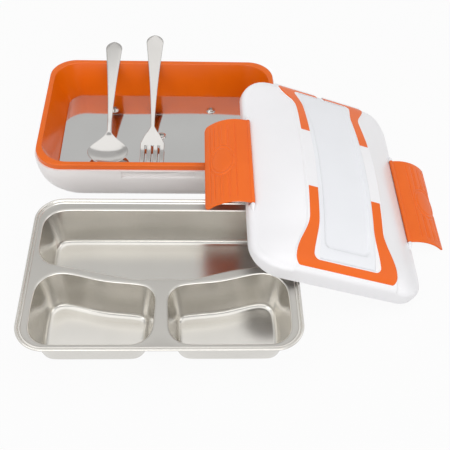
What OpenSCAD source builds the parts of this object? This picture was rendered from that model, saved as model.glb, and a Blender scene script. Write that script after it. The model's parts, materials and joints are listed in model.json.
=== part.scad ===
// Electric lunch box: heated base, steel tray, arched lid with two latches, spoon and fork.
// The base's underside is centred on the origin, X runs along its length and Y to the back.
// The lid's own frame has a across its width, b along its length and n up from its skirt.

/* [Base] */
// Length over the orange rim
rim_length = 235.4; // [215:0.2:255]
// Width over the orange rim
rim_width = 162.4; // [150:0.2:180]
// Height of the rim's top above the table
rim_top = 46; // [44:0.5:60]
// Height of the rim band that stands above the shell
rim_band = 6; // [4:0.5:8]
// Radius of the rim's outer corners
rim_corner = 26; // [20:1:34]
// Width of the rim's flat top
rim_face = 5; // [3:0.5:7]
// Width of the shell's ledge outside the rim
ledge = 1.4; // [1:0.1:2.5]
// Thickness of the shell's wall
shell_wall = 2.2; // [1.6:0.1:2.6]
// Radius between the shell's side and its bottom
shell_fillet = 13; // [8:0.5:15]
// Thickness of the liner's wall
liner_wall = 1.8; // [1.2:0.1:2.2]
// How far the cavity's walls lean in from mouth to floor
cavity_draft = 10.6; // [8:0.2:13]
// Corner radius of the cavity's mouth
mouth_corner = 27; // [24:1:34]
// Height of the heating plate's top above the table
plate_top = 10; // [10:0.5:13]
// Thickness of the heating plate
plate_thick = 1.5; // [1:0.1:2]
// Height of the feet below the shell
foot_height = 1.5; // [1:0.1:3]
// Diameter of a foot
foot_d = 14; // [8:1:18]

/* [Latch recess] */
// Length of the recess that a latch hooks into
recess_length = 70; // [50:1:90]
// Height of that recess
recess_height = 8; // [5:0.5:10]
// Depth of that recess
recess_depth = 1.8; // [1:0.1:2.2]

/* [Inlet] */
// Width of the socket's opening
socket_width = 16; // [14:0.5:22]
// Height of the socket's opening
socket_height = 9; // [8:0.5:12]
// Depth of the socket's opening
socket_depth = 6.6; // [5:0.2:7]
// Distance between the two pins
pin_pitch = 8.6; // [8:0.1:10]
// Diameter of a pin
pin_d = 2.3; // [1.5:0.1:3]
// Diameter of the pilot lamp's lens
lens_d = 5; // [3:0.5:8]

/* [Heater] */
// Length of the heater block
heater_length = 90; // [60:1:96]
// Width of the heater block
heater_width = 42; // [30:1:44]
// Thickness of the heater block
heater_thick = 3; // [2:0.1:3]
// Diameter of a wire
wire_d = 1.7; // [1:0.1:2]

/* [Screws] */
// Head diameter of the plate's screws
plate_head_d = 7.4; // [6:0.2:9]
// Head height of the plate's screws
plate_head_h = 1.6; // [1:0.1:2.5]
// Shank diameter of every screw
shank_d = 3; // [2:0.1:3.5]
// Distance of the plate's outer screws from the middle, along the length
plate_screw_x = 52; // [48:0.5:70]
// Distance of the plate's outer screws from the middle, along the width
plate_screw_y = 42; // [34:0.5:50]
// Head diameter of the screws that hold shell, liner and lid panel
small_head_d = 6; // [5:0.2:7]

/* [Lid] */
// Height of the lid's crest above its skirt
crest = 35; // [30:0.5:42]
// Radius of the lid's arch along its length
arch_radius = 412; // [360:2:600]
// Thickness of the lid's skin
lid_wall = 2.2; // [1.6:0.1:3]
// Height of the lid's long sides
side_top = 8.5; // [8:0.1:11]
// Half width of the raised middle at its waist
waist = 38.5; // [37.5:0.5:44]
// How far the raised middle flares out towards the ends
flare = 11; // [6:0.5:16]
// Height of the step round the raised middle
step_height = 1.6; // [0.8:0.1:3]
// Radius of the lid's edges
edge_radius = 3; // [1:0.1:4]
// Gap round the rim inside the lid's skirt
skirt_gap = 0.35; // [0.2:0.05:0.6]
// Room over the rim inside the lid's skirt
rim_room = 0.4; // [0.2:0.1:0.8]
// Thickness of the orange inlays
inlay_thick = 1.4; // [0.8:0.1:1.6]
// How far the inlays stand above the lid
inlay_proud = 0.3; // [0.1:0.1:0.8]
// Half width between the inlay's legs
inlay_inner = 26.7; // [26.7:0.1:27.5]
// Half width over the inlay's legs
inlay_outer = 36; // [32:0.5:37]
// How far the inlay's legs flare out towards the ends
inlay_flare = 12.3; // [8:0.1:12.5]
// Distance from the lid's middle where that flare starts
flare_start = 66; // [55:1:70]
// Width of the bar that joins an inlay's legs
inlay_bar = 8.3; // [6:0.1:9.5]
// Distance of the inlays' ends from the lid's ends
inlay_margin = 3.2; // [2.5:0.1:5]
// Half gap between the legs of the two inlays
inlay_start = 36.5; // [30:0.5:50]
// Half width of the cutlery well
well_half = 24; // [20:0.5:24]
// Half length of the cutlery well
well_reach = 104; // [96:1:105]
// Height of the well's floor above the skirt
well_floor = 12; // [12:0.5:14]
// Thickness of the cutlery cover
cover_thick = 1.6; // [1.2:0.1:2]
// Depth of the dish in the cutlery cover
dish_depth = 2; // [1:0.1:3]
// Half width of the cover's finger tab
tab_half = 4.5; // [3:0.5:8]

/* [Latches] */
// Length of a latch along the lid
latch_length = 106; // [80:1:110]
// Distance of the latches' middle from the lid's middle, towards the far end
latch_shift = 2; // [-4:0.5:4]
// Distance from a latch's pin to its lip
latch_chord = 42; // [36:0.5:46]
// How far a latch bulges from that line
latch_bulge = 6.5; // [4:0.25:9]
// Thickness of a latch
latch_thick = 1.8; // [1.4:0.1:2.4]
// Distance of a latch's pin from the lid's long side
hinge_inset = 3; // [2.6:0.1:3.4]
// Height of a latch's pin above the skirt
hinge_up = 9.6; // [9.6:0.1:11]
// Radius of a latch's barrel
barrel_r = 2; // [1.8:0.1:2.2]
// Diameter of a hinge pin
hinge_pin_d = 1.8; // [1.4:0.1:2]
// Radius of a latch's lengthwise grooves
groove_r = 0.8; // [0.5:0.1:1]
// Distance of those grooves' ends from the latch's ends
groove_margin = 4; // [2:0.5:10]
// Running gap between a pin and its bore, on the radius
pin_play = 0.04; // [0.02:0.01:0.08]
// Angle of the left latch below the lid's plane
left_droop = 35; // [20:1:50]
// Angle of the right latch below the lid's plane
right_droop = 6.5; // [0:0.5:8]

/* [Tray] */
// Length over the tray's rim
tray_length = 231; // [220:0.5:235]
// Width over the tray's rim
tray_width = 161.5; // [150:0.5:165]
// Depth of the tray from its flange to its feet
tray_depth = 36; // [30:0.5:40]
// Thickness of the tray's sheet
tray_sheet = 0.8; // [0.6:0.1:1.2]
// Radius of the rolled bead round the tray
bead_r = 1.2; // [1:0.1:1.6]
// How far the compartments' walls lean in
pocket_draft = 8; // [4:0.5:10]
// Radius of the compartments' foot
pocket_foot = 5; // [3:0.5:8]

/* [Cutlery] */
// Length of the spoon
spoon_length = 156; // [145:1:165]
// Width of the spoon's handle at its end
spoon_head = 17.5; // [14:0.1:20]
// Length of the fork
fork_length = 165; // [150:1:175]
// Width of the fork's handle at its end
fork_head = 18.6; // [14:0.1:21]
// Thickness of the handles
handle_thick = 1.6; // [1:0.1:2.5]
// Width of the spoon's bowl
bowl_width = 41; // [34:1:46]
// Length of the spoon's bowl
bowl_length = 40; // [36:1:50]
// Radius of the bowl's hollow
bowl_radius = 46; // [40:1:90]
// Width of the fork's head
fork_width = 25; // [20:1:30]
// Width of the slots between the tines
slot_width = 2.6; // [2:0.1:3]

/* [Layout] */
// Sideways place of the lid's middle
lid_x = 157.1; // [150:0.1:170]
// Place of the lid's middle from back to front
lid_y = -94.8; // [-100:0.1:-90]
// Height of the lid's middle above the table
lid_z = 30.2; // [30:0.1:36]
// Angle at which the lid leans on the base
lid_lean = 19.6; // [19:0.1:20]
// Angle at which the lid's near end hangs lower
lid_pitch = 1; // [0.8:0.1:1.2]
// Sideways place of the tray's middle
tray_x = 7.5; // [0:0.5:8]
// Place of the tray's middle from back to front
tray_y = -198.1; // [-205:0.1:-198]
// Sideways place of the spoon
spoon_x = -53; // [-70:1:-45]
// Sideways place of the fork
fork_x = -8.9; // [-20:0.1:0]

/* [Hidden] */
$fn = 96;
seat = 0.3;        // small gap between pieces that only lie on each other
over = 1;          // how far a cutting solid runs past what it cuts

shell_half_x = rim_length / 2 + ledge;
shell_half_y = rim_width / 2 + ledge;
axis_x = rim_length / 2 - rim_corner;
axis_y = rim_width / 2 - rim_corner;
shell_top = rim_top - rim_band;
mouth_half_x = rim_length / 2 - rim_face;
mouth_half_y = rim_width / 2 - rim_face;
mouth_axis_x = mouth_half_x - mouth_corner;
mouth_axis_y = mouth_half_y - mouth_corner;
liner_floor = plate_top - plate_thick;
liner_bottom = liner_floor - 2;
shell_floor = foot_height + 2;
socket_z = (liner_floor + rim_top) / 2 - 5;

window_x = heater_length / 2 + 15;
window_y = heater_width / 2 + 6;

foot_x = shell_half_x - shell_fillet - foot_d / 2 - 10;
foot_y = shell_half_y - shell_fillet - foot_d / 2 - 12;
base_screw_x = foot_x - foot_d / 2 - 8;

hinge_out = shell_half_y - hinge_inset;
arch_in = arch_radius - crest;
lug_length = 5;
notch_half = latch_length / 2 + 0.4;
latch_radius = latch_chord * latch_chord / (8 * latch_bulge) + latch_bulge / 2;
inlay_end = shell_half_x - inlay_margin;
bar_gap = 1.6;        // from an inlay's bar to the cutlery cover
cover_end = inlay_end - inlay_bar - bar_gap;
cover_axis_b = inlay_bar + 2 * bar_gap - inlay_end;
cover_gap = 0.3;
cover_half = inlay_inner - 0.2 - cover_gap;
flange_z = tray_depth;
pocket_side = 8;      // from the tray's side to its long compartment
pocket_back = 12;     // from the tray's back to it
back_corner = 20;     // radius of its corners
back_edge = 5;        // how far the ends of its front wall lie behind the tray's middle
bulge_edge = 10;      // how far that wall bulges in front of the tray's middle
bulge_half = 22;      // half length of the bulge's middle
front_side = 10;      // from the tray's side to a short compartment
front_edge = 7;       // from the tray's front to it
front_corner = 18;    // radius of its front corners
outer_corner = 21;    // radius of its outer back corner
outer_edge = 3;       // from the tray's middle to that corner's edge
inner_corner = 16;    // radius of its inner back corner
inner_edge = 15;      // from the tray's middle to that corner's edge
land_half = 5;        // half width of the land between the short compartments
fork_crown = 42;      // from the fork's shoulder to its tips
slot_reach = 30;      // from the roots of the fork's slots to past its tips
gasket_width = 2.2;
gasket_low = rim_band + tray_sheet + 0.15;
panel_side = 7.1;     // from a latch's barrel to the inner panel
panel_half_a = hinge_out - barrel_r - panel_side;
panel_inset = 11;     // from the lid's ends to the inner panel
panel_half_b = shell_half_x - panel_inset;
panel_low = gasket_low + 0.05;
panel_thick = 1;
panel_corner = 20;
panel_screw_a = 56;

// Height of the lid's arch at a distance b from its middle
function arch(b) = sqrt(arch_radius * arch_radius - b * b) - arch_in;

// Smooth change from 0 to 1 between two places
function ease(b, from, to) = (1 - cos(180 * min(1, max(0, (b - from) / (to - from))))) / 2;

// Turns a profile round the four corners of a rectangle and runs it along its sides
module around(cx, cy) {
    for (k = [[1, 1, 0], [-1, 1, 90], [-1, -1, 180], [1, -1, 270]])
        translate([k[0] * cx, k[1] * cy, 0])
            rotate([0, 0, k[2]])
                rotate_extrude(angle = 90) children();
    for (turn = [0, 180])
        rotate([0, 0, turn]) {
            translate([cx, cy, 0]) rotate([90, 0, 0]) linear_extrude(2 * cy) children();
            translate([-cx, cy, 0]) rotate([0, 0, 90]) rotate([90, 0, 0]) linear_extrude(2 * cx) children();
        }
}

// Solid with vertical sides and round corners
module rounded_block(half_x, half_y, corner, low, high) {
    around(half_x - corner, half_y - corner)
        translate([0, low]) square([corner, high - low]);
    translate([corner - half_x, corner - half_y, low])
        cube([2 * (half_x - corner), 2 * (half_y - corner), high - low]);
}

// Solid whose sides lean: reach is the corner radius at the bottom and at the top
module leaning_block(cx, cy, low, high, reach_low, reach_high) {
    around(cx, cy)
        polygon([[0, low], [reach_low, low], [reach_high, high], [0, high]]);
    translate([-cx, -cy, low]) cube([2 * cx, 2 * cy, high - low]);
}

// Solid with a round lower edge
module tub(cx, cy, reach, fillet, low, high) {
    around(cx, cy) {
        translate([0, low]) square([reach - fillet, high - low]);
        translate([0, low + fillet]) square([reach, high - low - fillet]);
        translate([reach - fillet, low + fillet]) circle(fillet);
    }
    translate([-cx, -cy, low]) cube([2 * cx, 2 * cy, high - low]);
}

// Copies at the four corners of a rectangle
module at_corners(x, y) {
    for (sx = [-1, 1], sy = [-1, 1])
        translate([sx * x, sy * y, 0]) children();
}

// Screw whose head stands on z = 0 and whose shank points down
module screw(head_d, head_h, length) {
    cylinder(d = head_d, h = head_h);
    translate([0, 0, -length]) cylinder(d = shank_d, h = length + head_h / 2);
}

// Wire in straight runs through the given points
module wire(points) {
    reach = wire_d / 2;
    for (i = [0:len(points) - 2]) {
        run = points[i + 1] - points[i];
        length = norm(run);
        translate(points[i])
            rotate([0, acos(run[2] / length), atan2(run[1], run[0])])
                translate([0, 0, i == 0 ? 0 : -reach])
                    cylinder(d = wire_d, h = length + (i == 0 ? 0 : reach) + (i == len(points) - 2 ? 0 : reach));
    }
}

// Places that follow the lid where it leans on the base
module lid_pose() {
    translate([lid_x, lid_y, lid_z])
        rotate([lid_pitch, 0, 0])
            rotate([0, lid_lean, 0])
                children();
}

module tray_pose() {
    translate([tray_x, tray_y, 0]) children();
}

// Cutlery that leans on the rim: its round underside has its centre a distance along the
// handle and above it, and the dip lets that arc just clear the height that it stands on
module leaning(x, along, above, radius, stand) {
    lift = handle_thick / 2 + seat;
    reach = norm([along, above + lift]);
    dip = asin((rim_top - radius - stand - seat) / reach) + atan2(above + lift, along);
    translate([x, mouth_half_y, rim_top])
        rotate([dip, 0, 0])
            translate([0, 0, lift]) children();
}

module outer_shell() {
    color("whitesmoke") difference() {
        union() {
            difference() {
                tub(axis_x, axis_y, rim_corner + ledge, shell_fillet, foot_height, shell_top);
                tub(axis_x, axis_y, rim_corner + ledge - shell_wall, shell_fillet - shell_wall,
                    shell_floor, shell_top + over);
            }
            for (side = [0, 180])
                rotate([0, 0, side]) recess_back();
            at_corners(base_screw_x, foot_y)
                translate([0, 0, foot_height]) cylinder(d = small_head_d + 5, h = liner_bottom - foot_height);
        }
        for (side = [0, 180])
            rotate([0, 0, side])
                translate([-recess_length / 2, shell_half_y - recess_depth, shell_top - 1.5 - recess_height])
                    cube([recess_length, recess_depth + over, recess_height]);
        at_corners(foot_x, foot_y)
            translate([0, 0, foot_height - over]) cylinder(d = foot_d, h = over + 0.5);
        at_corners(base_screw_x, foot_y) {
            translate([0, 0, foot_height - over]) cylinder(d = small_head_d + 0.6, h = over + 2.2);
            translate([0, 0, foot_height]) cylinder(d = shank_d + 0.2, h = liner_bottom);
        }
        translate([-shell_half_x, 0, socket_z]) rotate([0, 90, 0]) {
            socket_outline(2 * shell_wall + over, 1.6, -over);
            translate([0, socket_width, -over]) cylinder(d = lens_d + 0.2, h = shell_wall + 2 * over);
        }
    }
}

// Thicker wall behind a latch recess
module recess_back() {
    depth = recess_depth + 1.4;
    translate([-recess_length / 2 - 2, shell_half_y - depth, shell_top - 3.5 - recess_height])
        cube([recess_length + 4, depth - shell_wall / 2, recess_height + 3.5]);
}

// Rounded outline of the socket, grown by a margin and run through a thickness
module socket_outline(thick, margin, from) {
    r = 3;
    half_h = socket_height / 2 + margin;
    half_w = socket_width / 2 + margin;
    translate([0, 0, from]) {
        translate([-half_h, r - half_w, 0]) cube([2 * half_h, 2 * (half_w - r), thick]);
        translate([r - half_h, -half_w, 0]) cube([2 * (half_h - r), 2 * half_w, thick]);
        for (sx = [-1, 1], sy = [-1, 1])
            translate([sx * (half_h - r), sy * (half_w - r), 0]) cylinder(r = r, h = thick);
    }
}

module inner_liner() {
    floor_reach = mouth_corner - cavity_draft;
    lip_out = rim_corner + ledge - shell_wall - 0.2;
    color("orangered") difference() {
        union() {
            difference() {
                rounded_block(rim_length / 2, rim_width / 2, rim_corner, shell_top, rim_top);
                translate([0, 0, shell_top - over])
                    rounded_block(mouth_half_x - 1, mouth_half_y - 1, mouth_corner - 1, 0, rim_band / 2 + over);
            }
            leaning_block(mouth_axis_x, mouth_axis_y, liner_bottom, rim_top,
                          floor_reach + liner_wall, mouth_corner + liner_wall);
            difference() {
                around(axis_x, axis_y)
                    translate([lip_out - liner_wall, shell_top - 3]) square([liner_wall, 3 + over]);
                translate([-recess_length / 2 - 3, -shell_half_y, shell_top - 4])
                    cube([recess_length + 6, 2 * shell_half_y, 4]);
            }
        }
        leaning_block(mouth_axis_x, mouth_axis_y, liner_floor, rim_top + over,
                      floor_reach, mouth_corner + cavity_draft * over / (rim_top - liner_floor));
        translate([-window_x, -window_y, liner_bottom - over])
            cube([2 * window_x, 2 * window_y, 2 * over + 2]);
        at_corners(plate_screw_x, plate_screw_y)
            translate([0, 0, liner_bottom - over]) cylinder(d = shank_d, h = 2 + 2 * over);
        at_corners(base_screw_x, foot_y)
            translate([0, 0, liner_bottom - over]) cylinder(d = shank_d, h = 2 + 2 * over);
    }
}

module heating_plate() {
    reach = mouth_corner - cavity_draft - 0.4;
    color("silver") difference() {
        rounded_block(mouth_axis_x + reach, mouth_axis_y + reach, reach, liner_floor, plate_top);
        at_corners(plate_screw_x, plate_screw_y)
            translate([0, 0, liner_floor - over]) cylinder(d = shank_d + 0.4, h = plate_thick + 2 * over);
        translate([0, 0, liner_floor - over]) cylinder(d = shank_d + 0.4, h = plate_thick + 2 * over);
    }
}

module plate_screws() {
    color("gainsboro") {
        at_corners(plate_screw_x, plate_screw_y)
            translate([0, 0, plate_top]) screw(plate_head_d, plate_head_h, plate_thick + 3);
        translate([0, 0, plate_top]) screw(plate_head_d, plate_head_h, plate_thick + 2);
    }
}

module heating_element() {
    color("dimgray") difference() {
        rounded_block(heater_length / 2, heater_width / 2, 3, liner_floor - heater_thick, liner_floor);
        translate([0, 0, liner_floor - heater_thick - over]) cylinder(d = shank_d, h = heater_thick + 2 * over);
    }
}

module insulation_pad() {
    color("tan")
        rounded_block(window_x - 4, window_y - 1, 4, shell_floor, liner_floor - heater_thick);
}

module thermal_cutout() {
    color("darkslategray")
        translate([-heater_length / 2 - 10, -5, liner_floor - heater_thick])
            cube([8, 14, heater_thick]);
}

module thermal_fuse() {
    color("ivory")
        translate([heater_length / 2 + 5, -heater_width / 2, liner_floor - heater_thick / 2])
            rotate([-90, 0, 0]) cylinder(d = heater_thick - 0.2, h = 14);
}

module supply_wires() {
    drop_x = -shell_half_x + socket_depth + 2.4;
    low = shell_floor + wire_d / 2 + 0.4;
    lane = liner_floor - 1.6;
    edge = -window_x + 2;
    side = heater_width / 2 + 3;
    color("firebrick")
        wire([[drop_x, pin_pitch / 2, socket_z - pin_d / 2], [drop_x, pin_pitch / 2, low + 3],
              [drop_x + 3, pin_pitch / 2, low], [edge, pin_pitch / 2, low],
              [edge, pin_pitch / 2, lane], [-heater_length / 2 - 10, pin_pitch / 2, lane]]);
    color("navy")
        wire([[drop_x, -pin_pitch / 2, socket_z - pin_d / 2], [drop_x, -pin_pitch / 2, low + 3],
              [drop_x + 3, -pin_pitch / 2, low], [edge, -pin_pitch / 2, low],
              [edge, -pin_pitch / 2, lane], [edge, -side, lane],
              [heater_length / 2 + 5, -side, lane], [heater_length / 2 + 5, -heater_width / 2, lane]]);
    color("firebrick")
        wire([[-heater_length / 2 - 6, -5, lane], [-heater_length / 2 - 6, -12, lane],
              [-heater_length / 2, -12, lane]]);
    color("navy")
        wire([[heater_length / 2 + 5, 14 - heater_width / 2, lane], [heater_length / 2 + 5, 0, lane],
              [heater_length / 2, 0, lane]]);
}

module inlet_socket() {
    color("black") translate([-shell_half_x, 0, socket_z]) rotate([0, 90, 0]) difference() {
        union() {
            socket_outline(socket_depth + 1.4, 1.5, 0);
            socket_outline(1.2, 3, shell_wall);
        }
        socket_outline(socket_depth + over, 0, -over);
        for (side = [-1, 1])
            translate([0, side * pin_pitch / 2, 0]) cylinder(d = pin_d, h = socket_depth + 4);
    }
}

module inlet_pins() {
    color("goldenrod") translate([-shell_half_x, 0, socket_z]) rotate([0, 90, 0])
        for (side = [-1, 1])
            translate([0, side * pin_pitch / 2, 1.5]) cylinder(d = pin_d, h = socket_depth + 1.7);
}

module indicator_lens() {
    color("white") translate([-shell_half_x, socket_width, socket_z]) rotate([0, 90, 0]) {
        cylinder(d = lens_d, h = shell_wall);
        translate([0, 0, shell_wall]) cylinder(d = lens_d + 2, h = 0.8);
    }
}

module pilot_lamp() {
    color("orange") translate([-shell_half_x + shell_wall + 0.8, socket_width, socket_z]) rotate([0, 90, 0])
        cylinder(d = lens_d - 1, h = 5);
}

module feet() {
    color("gray") at_corners(foot_x, foot_y) cylinder(d = foot_d, h = foot_height + 0.5);
}

module base_screws() {
    color("gainsboro") at_corners(base_screw_x, foot_y)
        translate([0, 0, foot_height + 2.2]) rotate([180, 0, 0])
            screw(small_head_d, 1.6, liner_floor - foot_height - 2.4);
}

// Corner of a compartment: round foot below, leaning side above
module pocket_corner(x, y, r, grow) {
    foot = pocket_foot + grow;
    low = tray_sheet - grow;
    translate([x, y, 0]) {
        translate([0, 0, flange_z]) cylinder(r = r + grow, h = tray_sheet + (grow > 0 ? 0 : over), $fn = 32);
        translate([0, 0, low + foot * 0.6]) cylinder(r = r - pocket_draft + grow + 0.6, h = 0.1, $fn = 32);
        translate([0, 0, low + foot * 0.2]) cylinder(r = r - pocket_draft - 1, h = 0.1, $fn = 32);
        translate([0, 0, low]) cylinder(r = r - pocket_draft - foot * 0.5, h = 0.1, $fn = 32);
    }
}

// Long compartment at the back, with a front wall that curves out
module back_pocket(grow) {
    r = back_corner;
    hull() {
        for (side = [-1, 1]) {
            pocket_corner(side * (tray_length / 2 - pocket_side - r), tray_width / 2 - pocket_back - r, r, grow);
            pocket_corner(side * (tray_length / 2 - pocket_side - r), back_edge + r, r, grow);
            pocket_corner(side * bulge_half, r - bulge_edge, r, grow);
        }
    }
}

// Short compartment at the front left
module front_pocket(grow) {
    hull() {
        front_y = front_edge + front_corner - tray_width / 2;
        pocket_corner(front_side + front_corner - tray_length / 2, front_y, front_corner, grow);
        pocket_corner(front_side + outer_corner - tray_length / 2, -outer_edge - outer_corner, outer_corner, grow);
        pocket_corner(-land_half - inner_corner, -inner_edge - inner_corner, inner_corner, grow);
        pocket_corner(-land_half - 1 - front_corner, front_y, front_corner, grow);
    }
}

module food_tray() {
    corner = 25;
    color("silver") tray_pose() {
        difference() {
            union() {
                rounded_block(tray_length / 2 - bead_r, tray_width / 2 - bead_r, corner - bead_r,
                              flange_z, flange_z + tray_sheet);
                back_pocket(tray_sheet);
                front_pocket(tray_sheet);
                mirror([1, 0, 0]) front_pocket(tray_sheet);
            }
            back_pocket(0);
            front_pocket(0);
            mirror([1, 0, 0]) front_pocket(0);
        }
        around(tray_length / 2 - corner, tray_width / 2 - corner)
            translate([corner - bead_r, flange_z + bead_r]) circle(bead_r, $fn = 48);
    }
}

// Half width of the lid's raised middle
function ridge(b) = waist + flare * ease(abs(b), flare_start + 4, cover_end);

// Drop of the lid's rounded edges
function edge_drop(beyond) =
    beyond <= 0 ? 0 : edge_radius - sqrt(max(0, edge_radius * edge_radius - beyond * beyond));

// Points from the raised middle down one side at a place along the lid, in pieces fine or coarse
function lid_side(b, reach_a, reach_b, fine) = let (
    end = fine ? edge_drop(abs(b) - reach_b + edge_radius) : 0,
    foot = ridge(b),
    shoulder = arch(b) - step_height,
    wing_edge = reach_a - edge_radius,
    pieces = fine ? 3 : 1)
    concat(
        [[foot - 1.5, arch(b) + step_height], [foot, shoulder - end]],
        [for (i = [1:pieces]) let (t = i / pieces)
            [foot + (wing_edge - foot) * t, shoulder * (1 - t) + side_top * t + 1.6 * sin(180 * t) - end]],
        [for (share = fine ? [0.6, 1] : [1])
            [wing_edge + share * edge_radius, side_top - edge_drop(share * edge_radius) - end]]);

// Block under the lid's curved top, drawn in by an inset and lowered by the same amount
module lid_block(inset, low, fine) {
    reach_a = shell_half_y - inset;
    reach_b = shell_half_x - inset;
    inner_b = reach_b - edge_radius;
    rows = fine
        ? concat([for (s = [-1, -0.6]) s * edge_radius - inner_b],
                 [for (i = [-7:7]) i / 7 * inner_b],
                 [for (s = [0.6, 1]) s * edge_radius + inner_b])
        : [for (i = [-4:4]) i / 4 * reach_b];
    columns = len(lid_side(0, reach_a, reach_b, fine));
    ring = 2 * columns;
    sides = [for (b = rows) lid_side(b, reach_a, reach_b, fine)];
    top = [for (j = [0:len(rows) - 1], k = [0:ring - 1])
        let (p = sides[j][k < columns ? columns - 1 - k : k - columns])
        [(k < columns ? -1 : 1) * p[0], rows[j], p[1] - inset]];
    bottom = [for (p = top) [p[0], p[1], low]];
    count = len(top);
    last = len(rows) - 1;
    faces = concat(
        [for (j = [0:last - 1], k = [0:ring - 2]) let (i = j * ring + k)
            [i, i + ring, i + ring + 1]],
        [for (j = [0:last - 1], k = [0:ring - 2]) let (i = j * ring + k)
            [i, i + ring + 1, i + 1]],
        [for (j = [0:last - 1], k = [0:ring - 2]) let (i = count + j * ring + k)
            [i, i + 1, i + ring + 1]],
        [for (j = [0:last - 1], k = [0:ring - 2]) let (i = count + j * ring + k)
            [i, i + ring + 1, i + ring]],
        [concat([for (k = [0:ring - 1]) k], [for (k = [ring - 1:-1:0]) count + k])],
        [concat([for (k = [ring - 1:-1:0]) last * ring + k], [for (k = [0:ring - 1]) count + last * ring + k])],
        [for (j = [0:last - 1]) [j * ring, count + j * ring, count + (j + 1) * ring, (j + 1) * ring]],
        [for (j = [0:last - 1]) let (i = j * ring + ring - 1)
            [i, i + ring, count + i + ring, count + i]]);
    intersection() {
        polyhedron(concat(top, bottom), faces);
        rounded_block(reach_a, reach_b, rim_corner + ledge - inset, low, crest + over);
        translate([0, 0, -arch_in]) rotate([0, 90, 0])
            cylinder(r = arch_radius - inset, h = 3 * shell_half_y, center = true, $fn = 720);
    }
}

// Everything above the lid's arch, lowered by a depth
module above_arch(depth) {
    difference() {
        translate([-shell_half_y, -shell_half_x, 0]) cube([2 * shell_half_y, 2 * shell_half_x, crest + 9]);
        translate([0, 0, -arch_in]) rotate([0, 90, 0])
            cylinder(r = arch_radius - depth, h = 3 * shell_half_y, center = true, $fn = 720);
    }
}

// Sheet that follows the lid's arch between two depths
module arch_sheet(upper, lower) {
    intersection() {
        above_arch(lower);
        translate([0, 0, -arch_in]) rotate([0, 90, 0])
            cylinder(r = arch_radius - upper, h = 3 * shell_half_y, center = true, $fn = 720);
    }
}

// Half of an inlay's outline with a waist, a flare and a round end
module inlay_half(from_w, to_w, reach, corner) {
    steps = 8;
    stop = reach - corner;
    polygon(concat(
        [[0, inlay_start], [from_w, inlay_start]],
        [for (i = [0:steps]) let (b = flare_start + (stop - flare_start) * i / steps)
            [from_w + (to_w - from_w) * ease(b, flare_start, stop), b]],
        [for (i = [1:6]) [to_w - corner + corner * cos(15 * i), stop + corner * sin(15 * i)]],
        [[0, reach]]));
}

// Outline of the band that both inlays share, on the far side
module inlay_outline() {
    for (side = [0, 1])
        mirror([side, 0, 0]) difference() {
            inlay_half(inlay_outer, inlay_outer + inlay_flare, inlay_end, inlay_bar);
            inlay_half(inlay_inner, inlay_inner + inlay_flare * 0.44, inlay_end - inlay_bar, inlay_bar - 3);
            translate([-over, inlay_start - over]) square([inlay_inner + over, over + 0.001]);
        }
}

module far_inlay_outline() {
    difference() {
        inlay_outline();
        translate([-tab_half - cover_gap, 0]) square([2 * (tab_half + cover_gap), 2 * shell_half_x]);
    }
}

// Outline of the cutlery cover with its finger tab
module cover_outline(gap) {
    half = cover_half + gap;
    translate([-half, cover_axis_b - gap]) square([2 * half, cover_end - cover_axis_b + 2 * gap]);
    translate([-tab_half - gap, 0]) square([2 * (tab_half + gap), inlay_end]);
}

// Long rounded outline of the cover's dish
module dish_outline(grow) {
    half = well_half - 2.5 + grow;
    end = cover_end - 10 - half + grow;
    translate([-half, -end]) square([2 * half, 2 * end]);
    for (side = [-1, 1])
        translate([0, side * end]) circle(half);
}

module cover_axis() {
    translate([0, cover_axis_b, arch(cover_axis_b) - cover_thick])
        rotate([0, 90, 0]) children();
}

module at_panel_screws() {
    for (sx = [-1, 1], b = [-0.68, 0, 0.68])
        translate([sx * panel_screw_a, b * shell_half_x, 0]) children();
}

module latch_notch(side) {
    mirror([side, 0, 0])
        translate([hinge_out - barrel_r - 1, latch_shift - notch_half, 5])
            cube([20, 2 * notch_half, crest]);
}

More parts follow.
